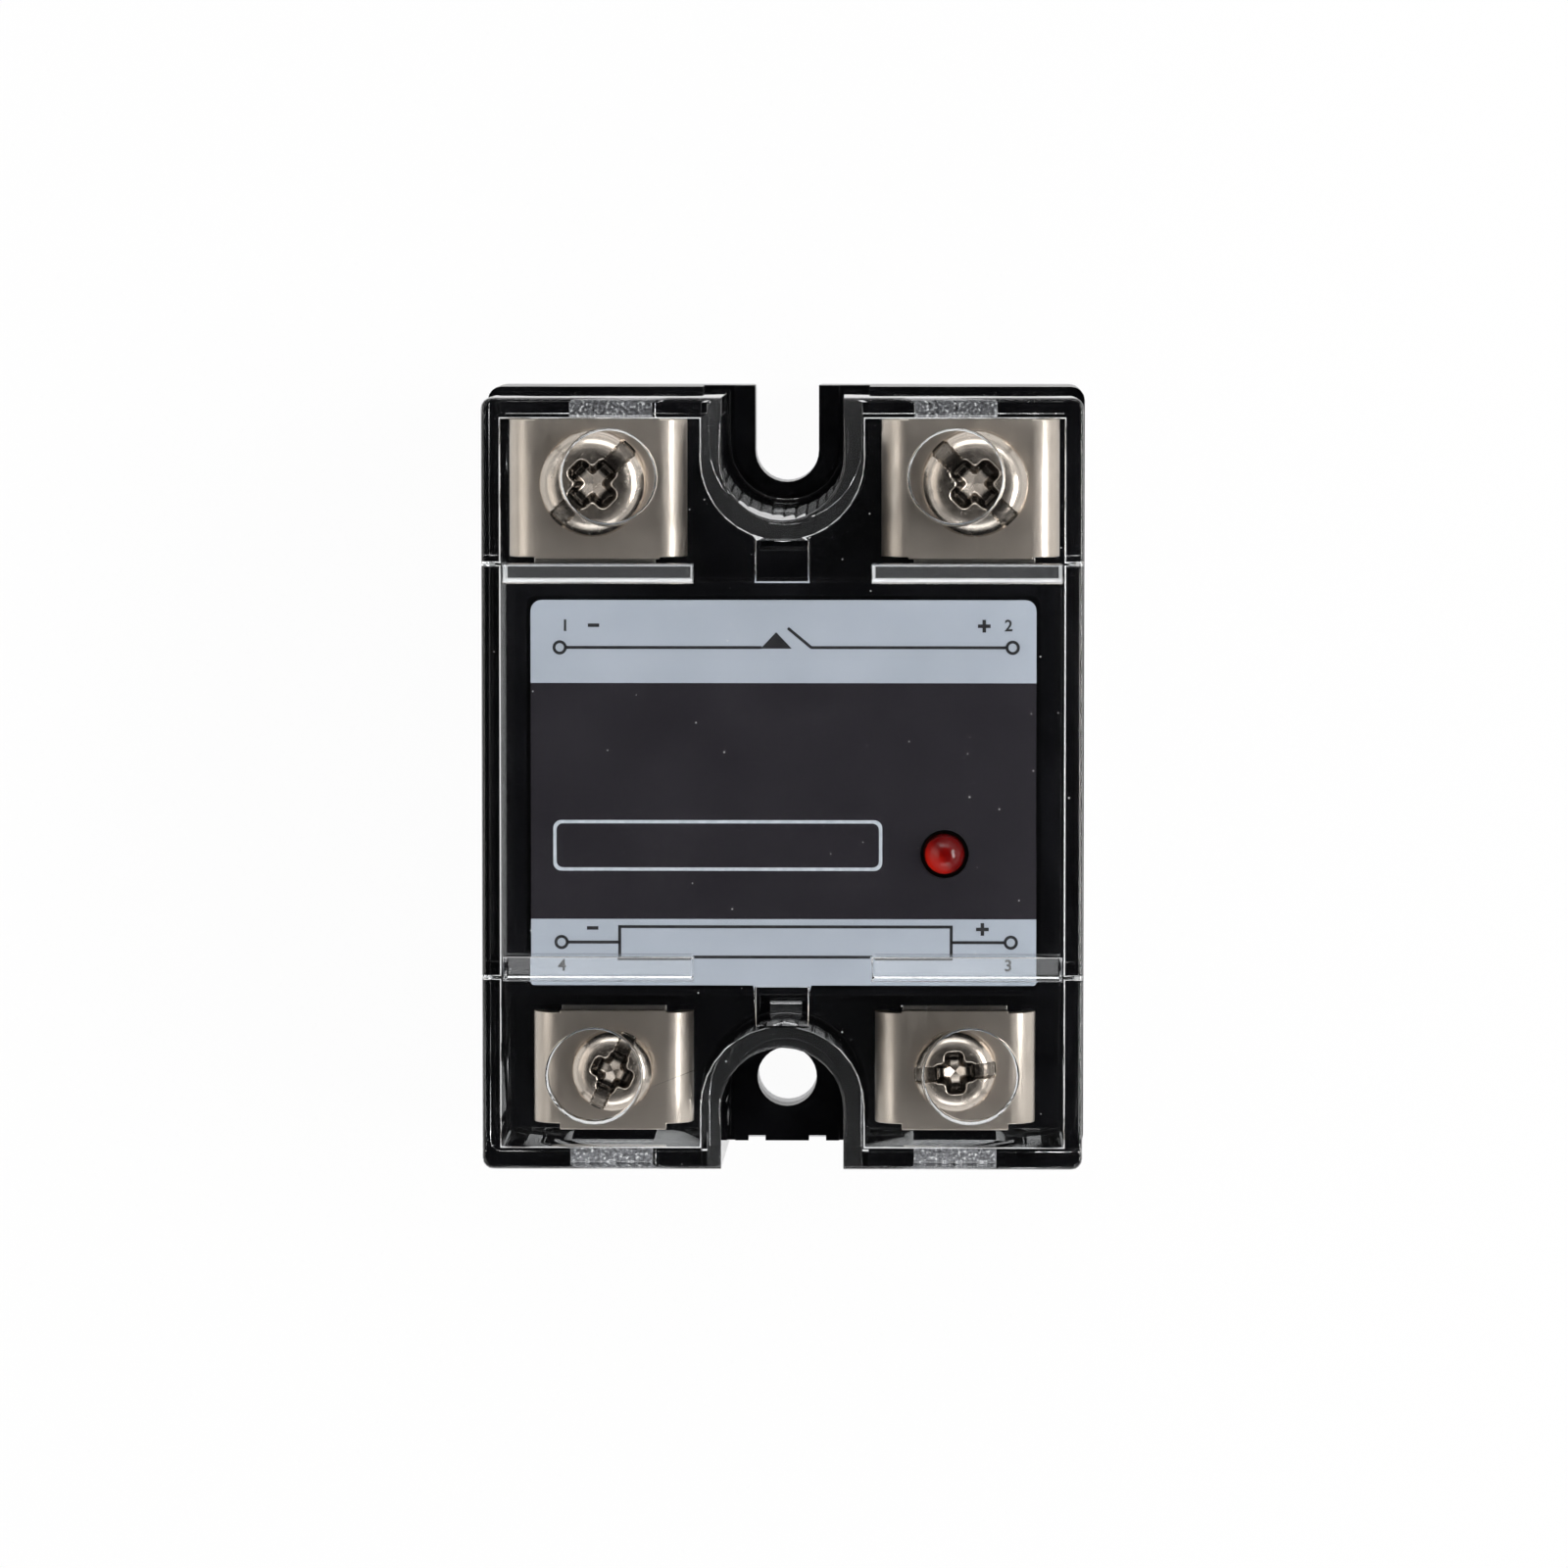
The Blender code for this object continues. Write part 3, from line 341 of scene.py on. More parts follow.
# %% [markdown]
# ## Printing inks
#
# The legend is screen-printed in a dark ink on the pale film and a pale ink on the dark band. Such ink is
# matt and a little uneven where the mesh of the screen lifted off, so fine noise moves both its colour and
# its roughness.

# %% Printing inks
def ink(name, dark, light):
    material, tree, shader, place = new_material(name)
    speck = noise(tree, place, 2400.0)
    tree.links.new(ramp(tree, speck, ((0.35, dark), (0.65, light))), shader.inputs["Base Color"])
    tree.links.new(remap(tree, speck, 0.4, 0.55), shader.inputs["Roughness"])
    return material


DARK_INK = ink("dark_ink", (0.004, 0.004, 0.005, 1), (0.010, 0.010, 0.012, 1))
PALE_INK = ink("pale_ink", (0.42, 0.46, 0.50, 1), (0.52, 0.56, 0.60, 1))
print("made", DARK_INK.name, "and", PALE_INK.name)

# %% [markdown]
# ## The indicator lens
#
# The indicator is a small dome of red-tinted plastic. Real transmission inside so small a dome takes many
# samples to settle. The light is painted into the colour instead: a painted glow, brighter on the side where
# light leaves the dome, and painted shade, nearly black, at the rim, where the dome meets its hole. A low
# roughness keeps the one sharp highlight.

# %% Red lens
led_low, led_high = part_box("led_indicator")
LED_CENTRE = ((led_low[0] + led_high[0]) / 2, (led_low[1] + led_high[1]) / 2, 0.0)
LED_RADIUS = 1.6 * MM
RIM_START = 0.86 * LED_RADIUS
RIM_END = 0.98 * LED_RADIUS
GLOW_SIDE = (-0.8, -0.6, 0.0)
GLOW_STOPS = (
    (0.0, (0.09, 0.0003, 0.0003, 1)),
    (0.5, (0.12, 0.0005, 0.0004, 1)),
    (0.95, (0.68, 0.012, 0.003, 1)),
)


def red_lens():
    material, tree, shader, place = new_material("red_lens")
    centred = calculate_vector(tree, "SUBTRACT", place, LED_CENTRE)
    slope = calculate_vector(tree, "DOT_PRODUCT", centred, GLOW_SIDE)
    # painted light: the red grows brighter towards GLOW_SIDE, where light would leave the dome
    glow = ramp(tree, remap(tree, slope, 0.0, 1.0, -LED_RADIUS, LED_RADIUS), GLOW_STOPS)
    flat = calculate_vector(tree, "MULTIPLY", centred, (1.0, 1.0, 0.0))
    radius = calculate_vector(tree, "LENGTH", flat)
    # painted shade: the colour turns nearly black in a ring at the dome's rim
    edge = remap(tree, radius, 0.0, 0.97, RIM_START, RIM_END)
    colour = blend_colours(tree, edge, glow, (0.004, 0.0005, 0.0005, 1.0))
    tree.links.new(colour, shader.inputs["Base Color"])
    tree.links.new(remap(tree, noise(tree, place, 700.0), 0.03, 0.06), shader.inputs["Roughness"])
    shader.inputs["Specular IOR Level"].default_value = 0.38
    return material


RED = red_lens()
print("made", RED.name)

# %% [markdown]
# ## Finishes of the hidden electronics
#
# Under the label sit the board, its parts, the ceramic and the resin. They show only when the housing is
# taken off, so each gets a simple finish: two close colours mixed by noise and an even roughness.

# %% Plain finishes of the hidden electronics
def inner_finish(name, dark, light, roughness):
    material, tree, shader, place = new_material(name)
    cloud = noise(tree, place, 500.0)
    tree.links.new(ramp(tree, cloud, ((0.3, dark), (0.7, light))), shader.inputs["Base Color"])
    tree.links.new(remap(tree, cloud, roughness - 0.08, roughness + 0.08), shader.inputs["Roughness"])
    return material


INNER = {
    "white_ceramic": inner_finish("white_ceramic", (0.80, 0.79, 0.75, 1), (0.88, 0.87, 0.83, 1), 0.6),
    "grey_resin": inner_finish("grey_resin", (0.13, 0.13, 0.14, 1), (0.18, 0.18, 0.19, 1), 0.5),
    "board_green": inner_finish("board_green", (0.02, 0.16, 0.05, 1), (0.03, 0.22, 0.08, 1), 0.42),
    "device_black": inner_finish("device_black", (0.015, 0.015, 0.015, 1), (0.03, 0.03, 0.03, 1), 0.5),
    "resistor_tan": inner_finish("resistor_tan", (0.48, 0.36, 0.22, 1), (0.60, 0.46, 0.29, 1), 0.48),
}
print("inner finishes:", list(INNER))

# %% [markdown]
# ## Softened copies of the frame's solids
#
# A real moulding or pressing has no razor edge: every edge is broken by a small radius, and that radius is
# what catches the light. A Bevel modifier could do it, but a bevel in bmesh can be given chosen edges. Each
# visible solid is copied, its loose triangles are merged, flat faces are joined again, and the sharp edges
# get a small bevel. Smooth shading would now bend the look of the big flat faces, so the normals are
# weighted by face area, which keeps flats flat and rounds only the bevels.

# %% Soften a copy of a solid
SHARP = math.radians(28.0)
FLAT = math.radians(1.0)
CREASE = math.radians(50.0)
MERGE = 0.002 * MM


def merged_copy(node):
    bm = bmesh.new()
    bm.from_mesh(frame["nodes"][node].data)
    bmesh.ops.remove_doubles(bm, verts=bm.verts, dist=MERGE)
    bmesh.ops.dissolve_limit(bm, angle_limit=FLAT, verts=bm.verts, edges=bm.edges)
    return bm


def sharp_edges(bm):
    return [e for e in bm.edges if len(e.link_faces) == 2 and e.calc_face_angle(0.0) > SHARP]


def soften_edges(bm, edges, width, segments=2, clamp=True):
    bmesh.ops.bevel(bm, geom=[e for e in edges if e.is_valid], offset=width, segments=segments, profile=0.5,
                    affect="EDGES", material=-1, clamp_overlap=clamp)


def weigh_normals(piece):
    modifier = piece.modifiers.new("weighted", "WEIGHTED_NORMAL")
    modifier.weight = 100
    modifier.keep_sharp = True
    ready = piece.evaluated_get(bpy.context.evaluated_depsgraph_get())
    mesh = bpy.data.meshes.new_from_object(ready)
    piece.modifiers.clear()
    piece.data = mesh


def finished_piece(bm, node, material, crease=CREASE):
    mesh = bpy.data.meshes.new(node + "_finish")
    bm.to_mesh(mesh)
    bm.free()
    mesh.materials.append(material)
    mesh.shade_smooth()
    mesh.set_sharp_from_angle(angle=crease)
    piece = bpy.data.objects.new(node + "_finish", mesh)
    bpy.context.scene.collection.objects.link(piece)
    return piece


def place_piece(piece, node, body):
    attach(piece, body)
    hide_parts(node)


def soften(node, width, material, body):
    bm = merged_copy(node)
    soften_edges(bm, sharp_edges(bm), width)
    piece = finished_piece(bm, node, material)
    weigh_normals(piece)
    place_piece(piece, node, body)


print("softening helpers ready")

# %% [markdown]
# ## The body, the plate and the terminals
#
# The moulded body has the largest radii, the milled plate a plain broken edge, and the bent clamps and
# straps the small round that a press tool leaves. Only the width of the bevel differs, so one loop does the
# four terminals. Each clamp rides on its own body, because it rises when its screw is undone.

# %% The body, the plate and the terminals
ROOT = "relay_body"
TERMINALS = (("output", 1), ("output", 2), ("input", 3), ("input", 4))
MOULDED_EDGE = 0.12 * MM
MILLED_EDGE = 0.15 * MM
PRESSED_EDGE = 0.08 * MM

soften("housing", MOULDED_EDGE, BLACK, ROOT)
soften("base_plate", MILLED_EDGE, PLATE, ROOT)
for kind, number in TERMINALS:
    soften(f"{kind}_terminal_{number}", PRESSED_EDGE, TINNED, ROOT)
    soften(f"{kind}_clamp_{number}", PRESSED_EDGE, NICKEL, f"clamp_{number}")
print("body, plate, terminals and clamps softened")

# %% [markdown]
# ## The recess of a terminal screw
#
# Each screw has a pan head with a slot from edge to edge and a cross recess over it, so either driver fits.
# The recess could be cut with a Boolean, but its walls slope and its corners are round. Here it is a height
# taken off the pan: functions say how far a point lies inside the slot, the cross and the pyramid at the
# bottom of the cross. The same functions give the painted shade there: the colour is darker in the slot,
# on the walls and on the floor of the cross, and lighter again at its point. Lengths are in millimetres.

# %% Slot and cross
SLOT_DEPTH = 0.9
SLOT_WALL = 0.1
CROSS_DEPTH = 1.2
POINT_DEPTH = 0.5
POINT_REACH = 0.75
CORNER_ROUND = 0.1
CORNER_REACH = 0.4
SLOT_SHADE = 0.72
WALL_SHADE = 5.2
FLOOR_SHADE = 0.9
POINT_LIGHT = 3.0
SCREW_SIZES = {
    "output": {"thread": 4.0, "pitch": 0.7, "head": 7.9,
               "slot": 0.6, "span": 1.45, "arm": 0.34, "wall": 0.62},
    "input": {"thread": 3.5, "pitch": 0.6, "head": 6.1,
              "slot": 0.48, "span": 1.15, "arm": 0.29, "wall": 0.5},
}


def fade(value):
    value = min(max(value, 0.0), 1.0)
    return value * value * (3.0 - 2.0 * value)


def box_distance(x, y, half_x, half_y):
    over_x = abs(x) - half_x
    over_y = abs(y) - half_y
    return math.hypot(max(over_x, 0.0), max(over_y, 0.0)) + min(max(over_x, over_y), 0.0)


def slot_share(y, size):
    return fade((size["slot"] + SLOT_WALL - abs(y)) / SLOT_WALL)


def cross_share(x, y, size):
    one = box_distance(x, y, size["span"], size["arm"])
    other = box_distance(x, y, size["arm"], size["span"])
    corner = max(CORNER_REACH - abs(one - other), 0.0) / CORNER_REACH
    return 1.0 - fade((min(one, other) - CORNER_ROUND * corner * corner) / size["wall"])


def point_share(x, y, size):
    return max(0.0, 1.0 - max(abs(x), abs(y)) / (POINT_REACH * size["span"]))


def recess(x, y, size):
    cross = cross_share(x, y, size) * (CROSS_DEPTH + POINT_DEPTH * point_share(x, y, size))
    return max(SLOT_DEPTH * slot_share(y, size), cross)


# painted shade: how much darker the screw's colour is made at each point of the recess
def painted_shade(x, y, size):
    cross = cross_share(x, y, size)
    slot = SLOT_SHADE * slot_share(y, size) * (1.0 - cross)
    wall = min(1.0, WALL_SHADE * cross * (1.0 - cross))
    floor = FLOOR_SHADE * cross * (1.0 - fade(POINT_LIGHT * point_share(x, y, size)))
    return max(slot, wall, floor)


print("cross depth", CROSS_DEPTH + POINT_DEPTH, "mm at the point")

# %% [markdown]
# ## The terminal screws
#
# A screw is turned on a lathe, so it is a profile spun round its axis: the pan, the rim and the thread's
# grooves down to the tip. The thread could be a true helix, but rings look the same at this size and close
# without a seam. The rings lie as far apart as the clamp rises in one turn. After the spin, each point of
# the pan sinks by the depth of the recess at its place.

# %% Screws
RING_POINTS = 180
HEAD_RINGS = 60
SEAT_GAP = 0.3
SHOULDER = 0.7
HEAD_FLOOR = 0.5
RIM_BREAK = 0.2
CROWN_DROP = 0.06
CROWN_REACH = 0.52
PAN_ROUND = 2.4
GROOVE_DEPTH = 0.28
GROOVE_SHARES = (0.36, 0.5, 0.86)
NECK = 0.6
SCREW_CREASE = math.radians(60.0)
TURNS = {1: 45.0, 2: -45.0, 3: 4.0, 4: 65.0}


def pan_height(r, rim, crown, shoulder):
    flat = CROWN_REACH * rim
    if r <= flat:
        return crown - CROWN_DROP * (r / flat) ** 2
    share = (r - flat) / (rim - flat)
    return shoulder + (crown - CROWN_DROP - shoulder) * math.sqrt(max(0.0, 1.0 - share ** PAN_ROUND))


def screw_profile(low, high, seat, size):
    rim = size["head"] / 2
    core = size["thread"] / 2
    radii = [rim * i / HEAD_RINGS for i in range(HEAD_RINGS + 1)]
    profile = [(r, pan_height(r, rim, high, seat + SHOULDER)) for r in radii]
    profile += [(rim, seat + RIM_BREAK), (rim - RIM_BREAK, seat), (core, seat)]
    root = core - GROOVE_DEPTH
    tip = low + core / 2
    z = seat - NECK
    while z - size["pitch"] > tip:
        flank, floor, end = [z - share * size["pitch"] for share in GROOVE_SHARES]
        profile += [(core, z), (root, flank), (root, floor), (core, end)]
        z -= size["pitch"]
    return profile + [(core, tip), (core / 2, low), (0.0, low)]


def make_screw(kind, number):
    node = f"{kind}_screw_{number}"
    size = SCREW_SIZES[kind]
    low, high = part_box(node)
    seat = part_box(f"{kind}_clamp_{number}")[1][2] / MM + SEAT_GAP
    bm = bmesh.new()
    painted_recess_shade = bm.verts.layers.float.new("painted_recess_shade")
    points = [bm.verts.new((r, 0.0, z)) for r, z in screw_profile(low[2] / MM, high[2] / MM, seat, size)]
    edges = [bm.edges.new(pair) for pair in zip(points, points[1:])]
    bmesh.ops.spin(bm, geom=points + edges, cent=(0, 0, 0), axis=(0, 0, 1), angle=math.tau,
                   steps=RING_POINTS, use_merge=True)
    bmesh.ops.remove_doubles(bm, verts=bm.verts, dist=MERGE)
    for vert in bm.verts:
        if vert.co.z > seat + HEAD_FLOOR:
            # painted shade: each point of the recess stores how much darker its colour is made
            vert[painted_recess_shade] = painted_shade(vert.co.x, vert.co.y, size)
            vert.co.z = max(vert.co.z - recess(vert.co.x, vert.co.y, size), seat + HEAD_FLOOR)
    turned = Matrix.Rotation(math.radians(TURNS[number]), 4, "Z")
    axis = Matrix.Translation(((low[0] + high[0]) / 2, (low[1] + high[1]) / 2, 0.0))
    bmesh.ops.transform(bm, matrix=axis @ turned @ Matrix.Scale(MM, 4), verts=bm.verts)
    bmesh.ops.recalc_face_normals(bm, faces=bm.faces)
    piece = finished_piece(bm, node, SCREW, SCREW_CREASE)
    place_piece(piece, node, f"screw_{number}")


for kind, number in TERMINALS:
    make_screw(kind, number)
print("screws turned:", len(TERMINALS))

# %% [markdown]
# ## The edges of the clear cover
#
# On a clear moulding the edges are nearly all that shows, because a rounded edge bends the light from the
# bright sides towards the camera. One bevel for all would be too thin at the holes or too wide at the
# hooks, so the edges are picked in groups: by their height, and by whether the corner is hollow. The flat
# strips of the two U-shaped walls are picked as well, to be rounded into one curve. Next to the hook window
# at the input end the wall has no room for a round, so those edges are left out.

# %% Pick the cover's edges
COVER_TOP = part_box("cover")[1][2]
ROOF = 1.5 * MM
CEILING = COVER_TOP - ROOF
RIB_FOOT = 22.4 * MM
LEVEL_GAP = 0.01 * MM
STRIP_ANGLE = 0.05
STRIP_LENGTH = 5.0 * MM
WALL_REACH = 6.3 * MM
HOOK_REACH = 3.4 * MM
HOOK_LOW = -18.95 * MM
HOOK_HIGH = -17.0 * MM


def at_level(edge, level):
    return max(abs(v.co.z - level) for v in edge.verts) < LEVEL_GAP


def is_hollow(edge):
    return edge.calc_face_angle_signed(0.0) < 0.0


def is_strip(edge):
    if len(edge.link_faces) != 2 or not STRIP_ANGLE < edge.calc_face_angle(0.0) < SHARP:
        return False
    by_notch = max(abs(v.co.x) for v in edge.verts) < WALL_REACH
    return by_notch and edge.calc_length() > STRIP_LENGTH


def by_hook_window(edge):
    return all(abs(v.co.x) < HOOK_REACH and HOOK_LOW < v.co.y < HOOK_HIGH for v in edge.verts)


print("cover roof", round(ROOF / MM, 2), "mm thick")

# %% [markdown]
# ## The clear cover
#
# The cover clips over the body and keeps fingers off the screws. Its rims are softened from the most visible
# to the least: the top face, where holes, windows and notches draw themselves as bright lines, then the
# hollow corners under the roof, then the feet of the ribs, and last a hair-fine round on all that is left.

# %% The cover
STRIP_ROUND = 0.38 * MM
FINE_ROUND = 0.05 * MM
RIMS = ((COVER_TOP, False, 0.24 * MM), (CEILING, True, 0.14 * MM), (RIB_FOOT, False, 0.2 * MM))

bm = merged_copy("cover")
strips = [e for e in bm.edges if is_strip(e) and not by_hook_window(e)]
soften_edges(bm, strips, STRIP_ROUND, 3)
sharp = sharp_edges(bm)
for level, hollow, width in RIMS:
    group = [e for e in sharp if e.is_valid and at_level(e, level) and is_hollow(e) == hollow]
    soften_edges(bm, [e for e in group if not by_hook_window(e)], width, 4, clamp=False)
soften_edges(bm, sharp, FINE_ROUND, clamp=False)
cover = finished_piece(bm, "cover", CLEAR)
weigh_normals(cover)
place_piece(cover, "cover", "cover_body")
print("cover faces:", len(cover.data.polygons))

# %% [markdown]
# ## Frost and haze on the cover
#
# Not every face of the mould was polished. The ceilings of the wire openings are spark-eroded, so they get
# the frosted plastic as a second material. The feet of the ribs and of the U-shaped walls are only a little
# dull. A third material would do for them, but a number on each face is simpler: the material reads it as
# the attribute "haze".

# %% Frost and haze
WINDOW_TOP = 20.5 * MM
WINDOW_GAP = 0.05 * MM
FOOT_GAP = 0.3 * MM
FOOT_REACH = 6.4 * MM
EDGE_HAZE = 0.5
INPUT_RIB_HAZE = 0.125
OUTPUT_RIB_HAZE = 0.05
WALL_HAZE = 0.05
FACES_DOWN = -0.6
FLAT_DOWN = -0.99
LEANS_DOWN = -0.1


def is_frosted(face):
    return face.normal.z <= FACES_DOWN and abs(face.center.z - WINDOW_TOP) < WINDOW_GAP


def rib_haze(face):
    output_end = face.center.y > 0.0
    if face.normal.z < FLAT_DOWN:
        return OUTPUT_RIB_HAZE if output_end else INPUT_RIB_HAZE
    return EDGE_HAZE if output_end and face.normal.z < LEANS_DOWN else 0.0


def face_haze(face):
    if abs(face.center.z - RIB_FOOT) < FOOT_GAP:
        return rib_haze(face)
    low_wall = face.center.z < RIB_FOOT and abs(face.center.x) < FOOT_REACH
    return WALL_HAZE if low_wall and face.normal.z <= FACES_DOWN else 0.0


cover.data.materials.append(FROSTED)
haze = cover.data.attributes.new("haze", "FLOAT", "FACE")
frosted_faces = [face for face in cover.data.polygons if is_frosted(face)]
for face in cover.data.polygons:
    haze.data[face.index].value = 0.0 if is_frosted(face) else face_haze(face)
for face in frosted_faces:
    face.material_index = 1
print("frosted window ceilings:", len(frosted_faces))

# %% [markdown]
# ## The pieces that keep their own shape
#
# The label sheet and the electronics under it are already right in the frame, so they need no copy: only
# their material slot is filled. The indicator gets a very fine bevel, which rounds its dome's facets.

# %% Dress the frame's own nodes
LENS_EDGE = 0.03 * MM


def dress(node, material):
    slots = frame["nodes"][node].data.materials
    slots.clear()
    slots.append(material)


dress("label", SHEET)
soften("led_indicator", LENS_EDGE, RED, ROOT)
hidden = [entry for entry in frame["record"]["subparts"] if entry["material_slot"] in INNER]
for entry in hidden:
    dress(entry["node"], INNER[entry["material_slot"]])
print("dressed in place:", 1 + len(hidden))

# %% [markdown]
# ## Ink
#
# Ink stands on the film by a few hundredths of a millimetre. The legend could be an image texture, but
# printed shapes as thin meshes stay sharp from any distance. Each mark is drawn flat and then given its
# thickness: lines are thin rectangles and terminal rings are a short edge, spun.

# %% Ink helpers
INK_SINK = 0.005 * MM
INK_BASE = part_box("label")[1][2] - INK_SINK
INK_THICKNESS = 0.02 * MM
INK_MERGE = 0.001 * MM
LINE = 0.22 * MM
RING_STEPS = 32


def thicken(bm):
    grown = bmesh.ops.extrude_face_region(bm, geom=list(bm.faces))["geom"]
    moved = [v for v in grown if isinstance(v, bmesh.types.BMVert)]
    bmesh.ops.translate(bm, verts=moved, vec=(0.0, 0.0, INK_THICKNESS))
    bmesh.ops.recalc_face_normals(bm, faces=bm.faces)


def ink_piece(name, bm, material):
    thicken(bm)
    mesh = bpy.data.meshes.new(name)
    bm.to_mesh(mesh)
    bm.free()
    mesh.materials.append(material)
    piece = bpy.data.objects.new(name, mesh)
    bpy.context.scene.collection.objects.link(piece)
    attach(piece, ROOT)
    print("printed", name)


def stroke(bm, start, end, width=LINE):
    a = Vector((start[0] * MM, start[1] * MM, INK_BASE))
    b = Vector((end[0] * MM, end[1] * MM, INK_BASE))
    along = (b - a).normalized()
    across = Vector((-along.y, along.x, 0.0)) * width / 2
    bm.faces.new([bm.verts.new(p) for p in (a - across, b - across, b + across, a + across)])


def ring(bm, x, y, radius, width=LINE):
    inner = bm.verts.new(((x + radius) * MM - width / 2, y * MM, INK_BASE))
    outer = bm.verts.new(((x + radius) * MM + width / 2, y * MM, INK_BASE))
    edge = bm.edges.new((inner, outer))
    bmesh.ops.spin(bm, geom=[inner, outer, edge], cent=(x * MM, y * MM, INK_BASE), axis=(0, 0, 1),
                   angle=math.tau, steps=RING_STEPS, use_merge=True)


print("ink base", round(INK_BASE / MM, 3), "mm up")

# %% [markdown]
# ## The wiring diagram
#
# The output side shows a switch with an arrow between two terminal rings, the input side a box between two
# rings. Both could be traced as curves; as they are all straight strokes and circles, the helpers above
# draw them from a few end points. The points are in millimetres from the middle of the label's frame.

# %% Wiring diagram
RING = 0.42
OUTPUT_LINE = 9.76
OUTPUT_RINGS = (-16.5, 16.9)
SWITCH_GAP = (-1.6, 2.02)
SWITCH_ARM = ((0.33, 11.2), (2.06, OUTPUT_LINE))
ARROW = ((-1.69, 9.68), (0.62, 9.68), (-0.53, 10.9))
INPUT_LINE = -12.05
INPUT_RINGS = (-16.4, 16.8)
BOX_LOW = (-12.1, -13.15)
BOX_HIGH = (12.4, -10.9)

bm = bmesh.new()
for y, ends in ((OUTPUT_LINE, OUTPUT_RINGS), (INPUT_LINE, INPUT_RINGS)):
    for x in ends:
        ring(bm, x, y, RING)
stroke(bm, (OUTPUT_RINGS[0] + RING, OUTPUT_LINE), (SWITCH_GAP[0], OUTPUT_LINE))
stroke(bm, (SWITCH_GAP[1], OUTPUT_LINE), (OUTPUT_RINGS[1] - RING, OUTPUT_LINE))
stroke(bm, *SWITCH_ARM)
bm.faces.new([bm.verts.new((x * MM, y * MM, INK_BASE)) for x, y in ARROW])
stroke(bm, (INPUT_RINGS[0] + RING, INPUT_LINE), (BOX_LOW[0], INPUT_LINE))
stroke(bm, (BOX_HIGH[0], INPUT_LINE), (INPUT_RINGS[1] - RING, INPUT_LINE))
half_line = LINE / MM / 2
for y in (BOX_LOW[1], BOX_HIGH[1]):
    stroke(bm, (BOX_LOW[0] - half_line, y), (BOX_HIGH[0] + half_line, y))
for x in (BOX_LOW[0], BOX_HIGH[0]):
    stroke(bm, (x, BOX_LOW[1] + half_line), (x, BOX_HIGH[1] - half_line))
ink_piece("label_diagram", bm, DARK_INK)

# %% [markdown]
# ## The polarity signs
#
# A relay for direct current marks which terminal is which. A minus is one stroke. A plus is one stroke and
# two short ones, rather than two that cross, so that no two faces of ink lie in the same place.

# %% Polarity signs
SIGN_LINE = 0.26
MINUS_ARM = 0.42
PLUS_ARM = 0.47

bm = bmesh.new()
for x, y in ((-14.0, 11.4), (-14.1, -11.0)):
    stroke(bm, (x - MINUS_ARM, y), (x + MINUS_ARM, y), SIGN_LINE * MM)
for x, y in ((14.8, 11.35), (14.7, -11.07)):
    stroke(bm, (x - PLUS_ARM, y), (x + PLUS_ARM, y), SIGN_LINE * MM)
    stroke(bm, (x, y + SIGN_LINE / 2), (x, y + PLUS_ARM), SIGN_LINE * MM)
    stroke(bm, (x, y - PLUS_ARM), (x, y - SIGN_LINE / 2), SIGN_LINE * MM)
ink_piece("label_signs", bm, DARK_INK)

# %% [markdown]
# ## The terminal numbers
#
# The four terminals are numbered. Digits are easiest from Blender's own text, which is made a mesh before
# it is put in its place, so that the finished piece is a plain mesh at the origin like the others.

# %% Terminal numbers
DIGIT = 0.85
CAPITAL_SHARE = 0.72
DIGIT_WEIGHT = 0.025 * MM
NUMBERS = (("1", -16.1, 11.35), ("2", 16.6, 11.35), ("4", -16.3, -13.67), ("3", 16.6, -13.67))


def digit(text, x, y, height):
    words = bpy.data.curves.new("digit_" + text, "FONT")
    words.body = text
    words.size = height * MM / CAPITAL_SHARE
    words.offset = DIGIT_WEIGHT
    words.align_x = "CENTER"
    words.align_y = "CENTER"
    holder = bpy.data.objects.new("digit_" + text, words)
    bpy.context.scene.collection.objects.link(holder)
    ready = holder.evaluated_get(bpy.context.evaluated_depsgraph_get())
    shape = bpy.data.meshes.new_from_object(ready)
    bpy.data.objects.remove(holder)
    bm = bmesh.new()
    bm.from_mesh(shape)
    bmesh.ops.remove_doubles(bm, verts=bm.verts, dist=INK_MERGE)
    bmesh.ops.translate(bm, verts=bm.verts, vec=(x * MM, y * MM, INK_BASE))
    ink_piece("label_digit_" + text, bm, DARK_INK)


for text, x, y in NUMBERS:
    digit(text, x, y, DIGIT)

# %% [markdown]
# ## The empty frame on the dark band
#
# A thin frame with rounded corners is printed on the dark band, as a field for a user's own note. It could
# be an outline with a bevel, but two loops of points joined by bridge_loops give a line of even width in
# one step.

# %% Empty frame on the dark band
FIELD_LOW = (-17.0, -6.75)
FIELD_HIGH = (7.3, -3.0)
FIELD_LINE = 0.24
FIELD_CORNER = 0.6
CORNER_STEPS = 6


def rounded_loop(low, high, radius):
    loop = []
    corners = ((high[0], high[1], 0), (low[0], high[1], 90), (low[0], low[1], 180), (high[0], low[1], 270))
    for x, y, start in corners:
        centre_x = x - math.copysign(radius, x - (low[0] + high[0]) / 2)
        centre_y = y - math.copysign(radius, y - (low[1] + high[1]) / 2)
        for i in range(CORNER_STEPS + 1):
            angle = math.radians(start + 90 * i / CORNER_STEPS)
            loop.append((centre_x + radius * math.cos(angle), centre_y + radius * math.sin(angle)))
    return loop


bm = bmesh.new()
edges = []
for inset in (0.0, FIELD_LINE):
    low = [value + inset for value in FIELD_LOW]
    high = [value - inset for value in FIELD_HIGH]
    points = rounded_loop(low, high, FIELD_CORNER - inset / 2)
    verts = [bm.verts.new((x * MM, y * MM, INK_BASE)) for x, y in points]
    edges += [bm.edges.new(pair) for pair in zip(verts, verts[1:] + verts[:1])]
bmesh.ops.bridge_loops(bm, edges=edges)
ink_piece("label_field", bm, PALE_INK)
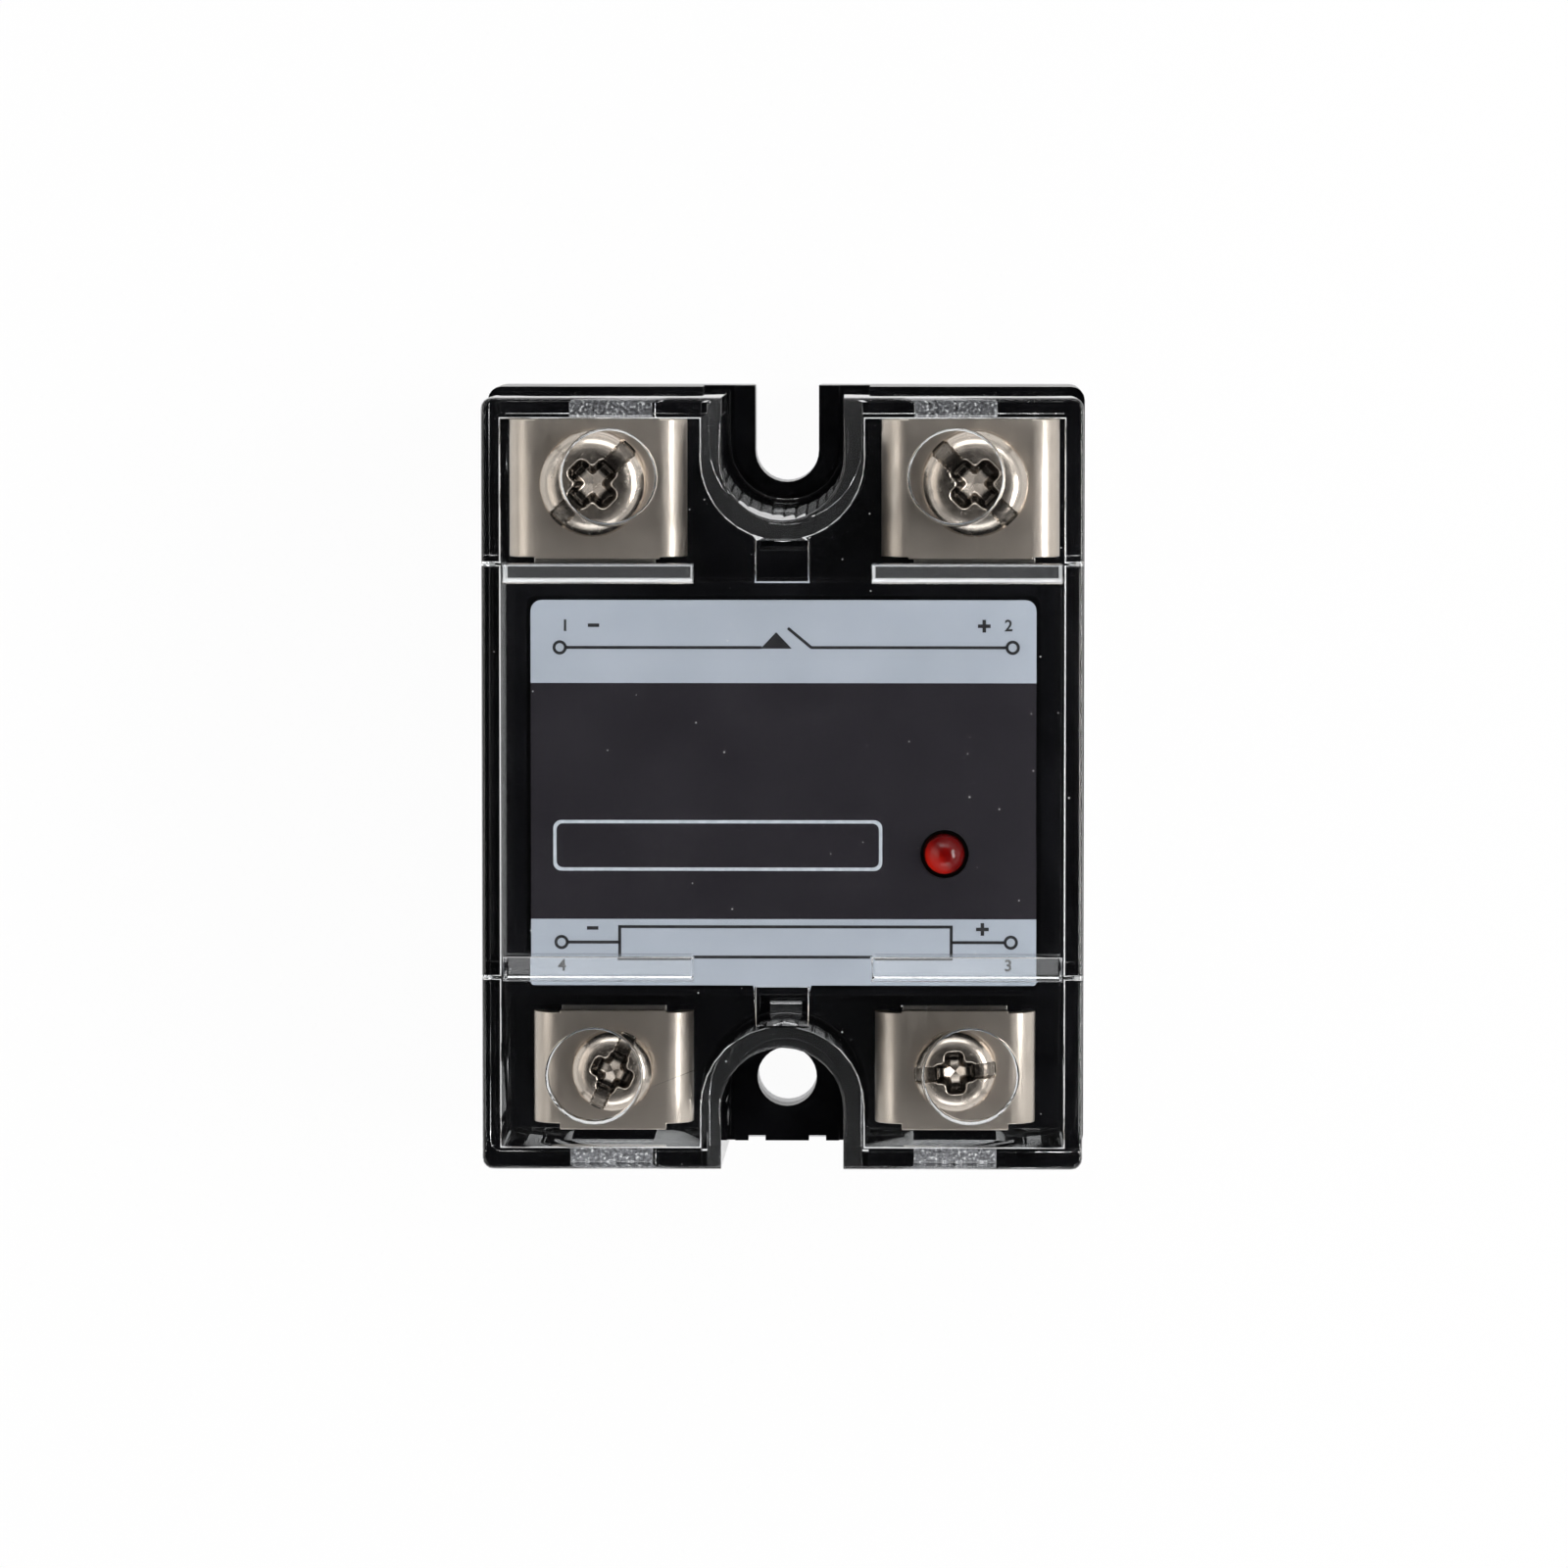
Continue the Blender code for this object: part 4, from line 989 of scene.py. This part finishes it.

# %% [markdown]
# ## The table
#
# The relay lies on a white table. A lit white plane turns grey towards its edges, so to the camera the table
# simply glows white, while all other rays meet a plain white sheet. Seen through the clear cover or in the
# metal it glows less, and through the cover least near the relay: a painted soft shade, where the paper
# would lie in the relay's shadow.

# %% Table
TABLE_HALF = 3.0
CAMERA_SHARE = 0.96
GLOSSY_SHARE = 0.7
SHADE_NEAR = 0.034
SHADE_FAR = 0.09


def table_white():
    material, tree, shader, place = new_material("table_white")
    shader.inputs["Base Color"].default_value = grey(0.9)
    shader.inputs["Roughness"].default_value = 0.9
    glow = add_node(tree, "ShaderNodeEmission", {"Color": grey(1.0), "Strength": 1.0})
    path = add_node(tree, "ShaderNodeLightPath")
    # painted shade: through the clear cover the table's glow is dimmer the nearer it lies to the relay
    shade = remap(tree, calculate_vector(tree, "LENGTH", place), 0.08, 0.65, SHADE_NEAR, SHADE_FAR)
    bent = calculate(tree, "MULTIPLY", path.outputs["Is Transmission Ray"], shade)
    mirrored = calculate(tree, "MULTIPLY", path.outputs["Is Glossy Ray"], GLOSSY_SHARE)
    other = calculate(tree, "MAXIMUM", bent, mirrored)
    seen = calculate(tree, "MAXIMUM", path.outputs["Is Camera Ray"], other)
    share = calculate(tree, "MULTIPLY", seen, CAMERA_SHARE)
    surface = blend_shaders(tree, share, shader.outputs[0], glow.outputs[0])
    tree.links.new(surface, tree.nodes["Material Output"].inputs["Surface"])
    return material


bm = bmesh.new()
bmesh.ops.create_grid(bm, x_segments=1, y_segments=1, size=TABLE_HALF)
mesh = bpy.data.meshes.new("table")
bm.to_mesh(mesh)
bm.free()
mesh.materials.append(table_white())
table = bpy.data.objects.new("table", mesh)
bpy.context.scene.collection.objects.link(table)
print("table", 2 * TABLE_HALF, "m wide")

# %% [markdown]
# ## The surroundings
#
# A glossy black face shows whatever it mirrors. Seen from above it mirrors the sky over the camera, so a
# bright dome would turn it grey. The world is therefore a ramp on height: pale at the sides, where it fills
# the shadows and lights the edges, and nearly dark straight above.

# %% Surroundings
SKY_STOPS = ((0.0, grey(0.6)), (0.45, grey(0.6)), (0.75, grey(0.22)), (0.93, grey(0.012)))

world = bpy.data.worlds.new("studio")
bpy.context.scene.world = world
world.use_nodes = True
tree = world.node_tree
direction = add_node(tree, "ShaderNodeTexCoord")
split = add_node(tree, "ShaderNodeSeparateXYZ")
tree.links.new(direction.outputs["Generated"], split.inputs[0])
tree.links.new(ramp(tree, split.outputs["Z"], SKY_STOPS), tree.nodes["Background"].inputs["Color"])
tree.nodes["Background"].inputs["Strength"].default_value = 1.0
print("sky stops:", len(SKY_STOPS))

# %% [markdown]
# ## The panels
#
# Four large, soft panels stand round the relay below the camera's view. Point lamps would give hard dots;
# a wide panel gives each bend of the clamps a long, soft highlight. The right panel is the strongest and
# the left one a little warm, so that the two sides of a clamp differ.

# %% Panels
TARGET = Vector((0.0, 0.0, 0.015))


def panel(name, place, width, height, power, colour):
    light = bpy.data.lights.new(name, "AREA")
    light.shape = "RECTANGLE"
    light.size = width
    light.size_y = height
    light.energy = power
    light.color = colour
    lamp = bpy.data.objects.new(name, light)
    lamp.location = place
    lamp.rotation_euler = (TARGET - Vector(place)).to_track_quat("-Z", "Y").to_euler()
    bpy.context.scene.collection.objects.link(lamp)


panel("right_panel", (0.62, 0.05, 0.50), 0.6, 0.22, 4.6, (1.0, 0.99, 0.98))
panel("left_panel", (-0.62, 0.05, 0.45), 0.7, 0.6, 1.0, (1.0, 0.95, 0.89))
panel("output_panel", (0.0, 0.70, 0.45), 0.7, 0.3, 1.8, (1.0, 1.0, 1.0))
panel("input_panel", (0.05, -0.70, 0.45), 0.7, 0.3, 1.5, (0.97, 0.98, 1.0))
print("panels:", len(bpy.data.lights))
